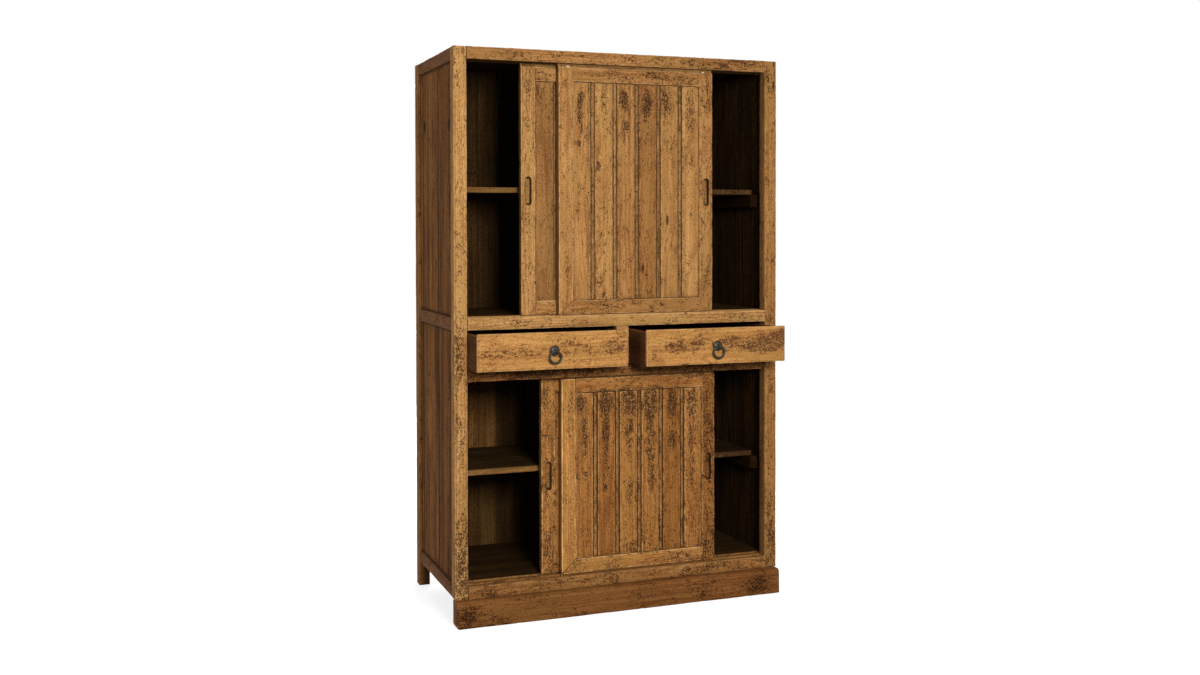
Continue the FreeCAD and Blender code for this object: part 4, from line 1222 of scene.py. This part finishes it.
PULL_HEIGHT, EYE_OUT, LOOP_RADIUS, DENT = 0.90625, 0.013, 0.0055, 0.0004
RING_RADIUS, RING_WIRE = 0.01975, 0.0031
DOME = ((0.0, -0.006), (0.005, -0.0058), (0.01, -0.0045), (0.0145, -0.0024), (0.0172, -0.0008), (0.018, 0.0))


def as_iron(name, node, iron):
    """The finished ironwork, in its CAD node's place."""
    bmesh.ops.remove_doubles(iron, verts=iron.verts[:], dist=1e-6)
    bmesh.ops.recalc_face_normals(iron, faces=iron.faces[:])
    placed(name, as_mesh(iron), iron_finish, node)


def turned(iron, shape, middle, axis, steps):
    """A shape turned once round an axis."""
    bmesh.ops.spin(iron, geom=shape, cent=middle, axis=axis, angle=2 * math.pi, steps=steps, use_merge=True)


def hoop(iron, middle, axis, start, wire, steps):
    """A round wire bent into a closed ring about an axis, from a starting point on it."""
    axis, radial = Vector(axis), (start - middle).normalized()
    square = Matrix((radial, axis, axis.cross(radial))).transposed().to_4x4()
    placing = Matrix.Translation(start) @ square
    section = bmesh.ops.create_circle(iron, radius=wire, segments=14, matrix=placing)["verts"]
    edges = list(dict.fromkeys(edge for point in section for edge in point.link_edges))
    turned(iron, edges + section, middle, axis, steps)


def rod(whole, middle, axis, radius, length, segments):
    """A short straight rod that lies along X or Y."""
    laid_down = Matrix.Rotation(math.pi / 2, 4, "Y" if axis == ALONG_X else "X")
    bmesh.ops.create_cone(
        whole, cap_ends=True, segments=segments, radius1=radius, radius2=radius, depth=length,
        matrix=Matrix.Translation(middle) @ laid_down,
    )


for side, (left, right, face) in DRAWERS.items():
    middle = (left + right) / 2
    eye_place = Vector((middle, face - EYE_OUT, PULL_HEIGHT))
    pull = bmesh.new()
    points = [pull.verts.new((middle + radius, face + depth, PULL_HEIGHT)) for radius, depth in DOME]
    edges = [pull.edges.new(pair) for pair in zip(points, points[1:])]
    turned(pull, points + edges, (middle, face, PULL_HEIGHT), (0, 1, 0), 40)
    for aside, wire in ((0.0, 0.0017), (0.002, 0.0016), (-0.002, 0.0016)):
        loop_place = eye_place + Vector((aside, 0, 0))
        hoop(pull, loop_place, (1, 0, 0), loop_place + Vector((0, 0, LOOP_RADIUS)), wire, 28)
    # The neck of the eye, the shank, and the nut behind the front.
    for radius, start, end, segments in (
        (0.0038, -0.0068, -0.004, 20),
        (0.003, 0.0, 0.028, 20),
        (0.008, 0.0205, 0.023, 6),
    ):
        rod(pull, (middle, face + (start + end) / 2, PULL_HEIGHT), ALONG_Y, radius, end - start, segments)
    for point in pull.verts:
        if point.co.y < face:
            place = point.co * 160
            point.co += DENT * Vector([noise.noise(place + Vector((0, 0, apart))) for apart in (0, 20, 40)])
    as_iron(f"{side}_pull_boss", f"{side}_drawer_boss", pull)

    ring = bmesh.new()
    centre = eye_place - Vector((0, 0, RING_RADIUS))
    hoop(ring, centre, (0, 1, 0), centre + Vector((RING_RADIUS, 0, 0)), RING_WIRE, 64)
    for point in ring.verts:
        heavier = 1 + 0.42 * max(0.0, (eye_place.z - point.co.z) / (2 * RING_RADIUS))
        core = centre + Vector((point.co.x - centre.x, 0, point.co.z - centre.z)).normalized() * RING_RADIUS
        point.co = core + (point.co - core) * heavier * (0.98 + 0.07 * noise.noise(point.co * 130))
    as_iron(f"{side}_pull_ring", f"{side}_drawer_ring", ring)


# Small trim. Two pale glides and a dark one stand on the front doors where they run under the rails, and
# the end of a round peg shows in the right post.

pale_finish = old_wood(
    "pale_glide_wood",
    pale=(0.8, 0.74, 0.6), honey=(0.74, 0.66, 0.5), brown=(0.6, 0.5, 0.36), worn=(0.85, 0.8, 0.68),
)
for name, body, finish, low, high in (
    ("left_glide", "upper_front_door", pale_finish, (-0.196, 0.016, 1.847), (-0.183, 0.022, 1.8535)),
    ("right_glide", "upper_front_door", pale_finish, (0.304, 0.016, 1.847), (0.314, 0.022, 1.8525)),
    ("lower_glide", "lower_front_door", drawer_side_finish, (0.297, 0.016, 0.795), (0.306, 0.022, 0.8)),
):
    glide = board(low, high, ALONG_X, arris=0.0012, step=0.003, butted=False)
    placed(name, glide, finish, body=body)

PEG_PLACE, PEG_RADIUS, PEG_LENGTH = Vector((0.5459, 0.0225, 0.5355)), 0.009, 0.0036
peg = bmesh.new()
rod(peg, PEG_PLACE, ALONG_X, PEG_RADIUS, PEG_LENGTH, 24)
peg.normal_update()
head = [part for part in peg.faces if part.normal.x < -0.9]
for thickness in (0.0035, 0.0022):
    bmesh.ops.inset_region(peg, faces=head, thickness=thickness)
rounded_over(peg, sharp_edges(peg), 0.0007)
reach = Vector((PEG_LENGTH / 2, PEG_RADIUS, PEG_RADIUS))


def peg_grime(place):
    """Dirt round a paler middle."""
    return 0.97 * fading(math.hypot(place.y - PEG_PLACE.y, place.z - PEG_PLACE.z), 0.0031, 0.0052)


low, high = PEG_PLACE - reach, PEG_PLACE + reach
aged(peg, low, high, ALONG_X, butted=False, wear=0.0, tone=1.0, grime=peg_grime)
placed("post_peg", as_mesh(peg), frame_finish, body="carcase")
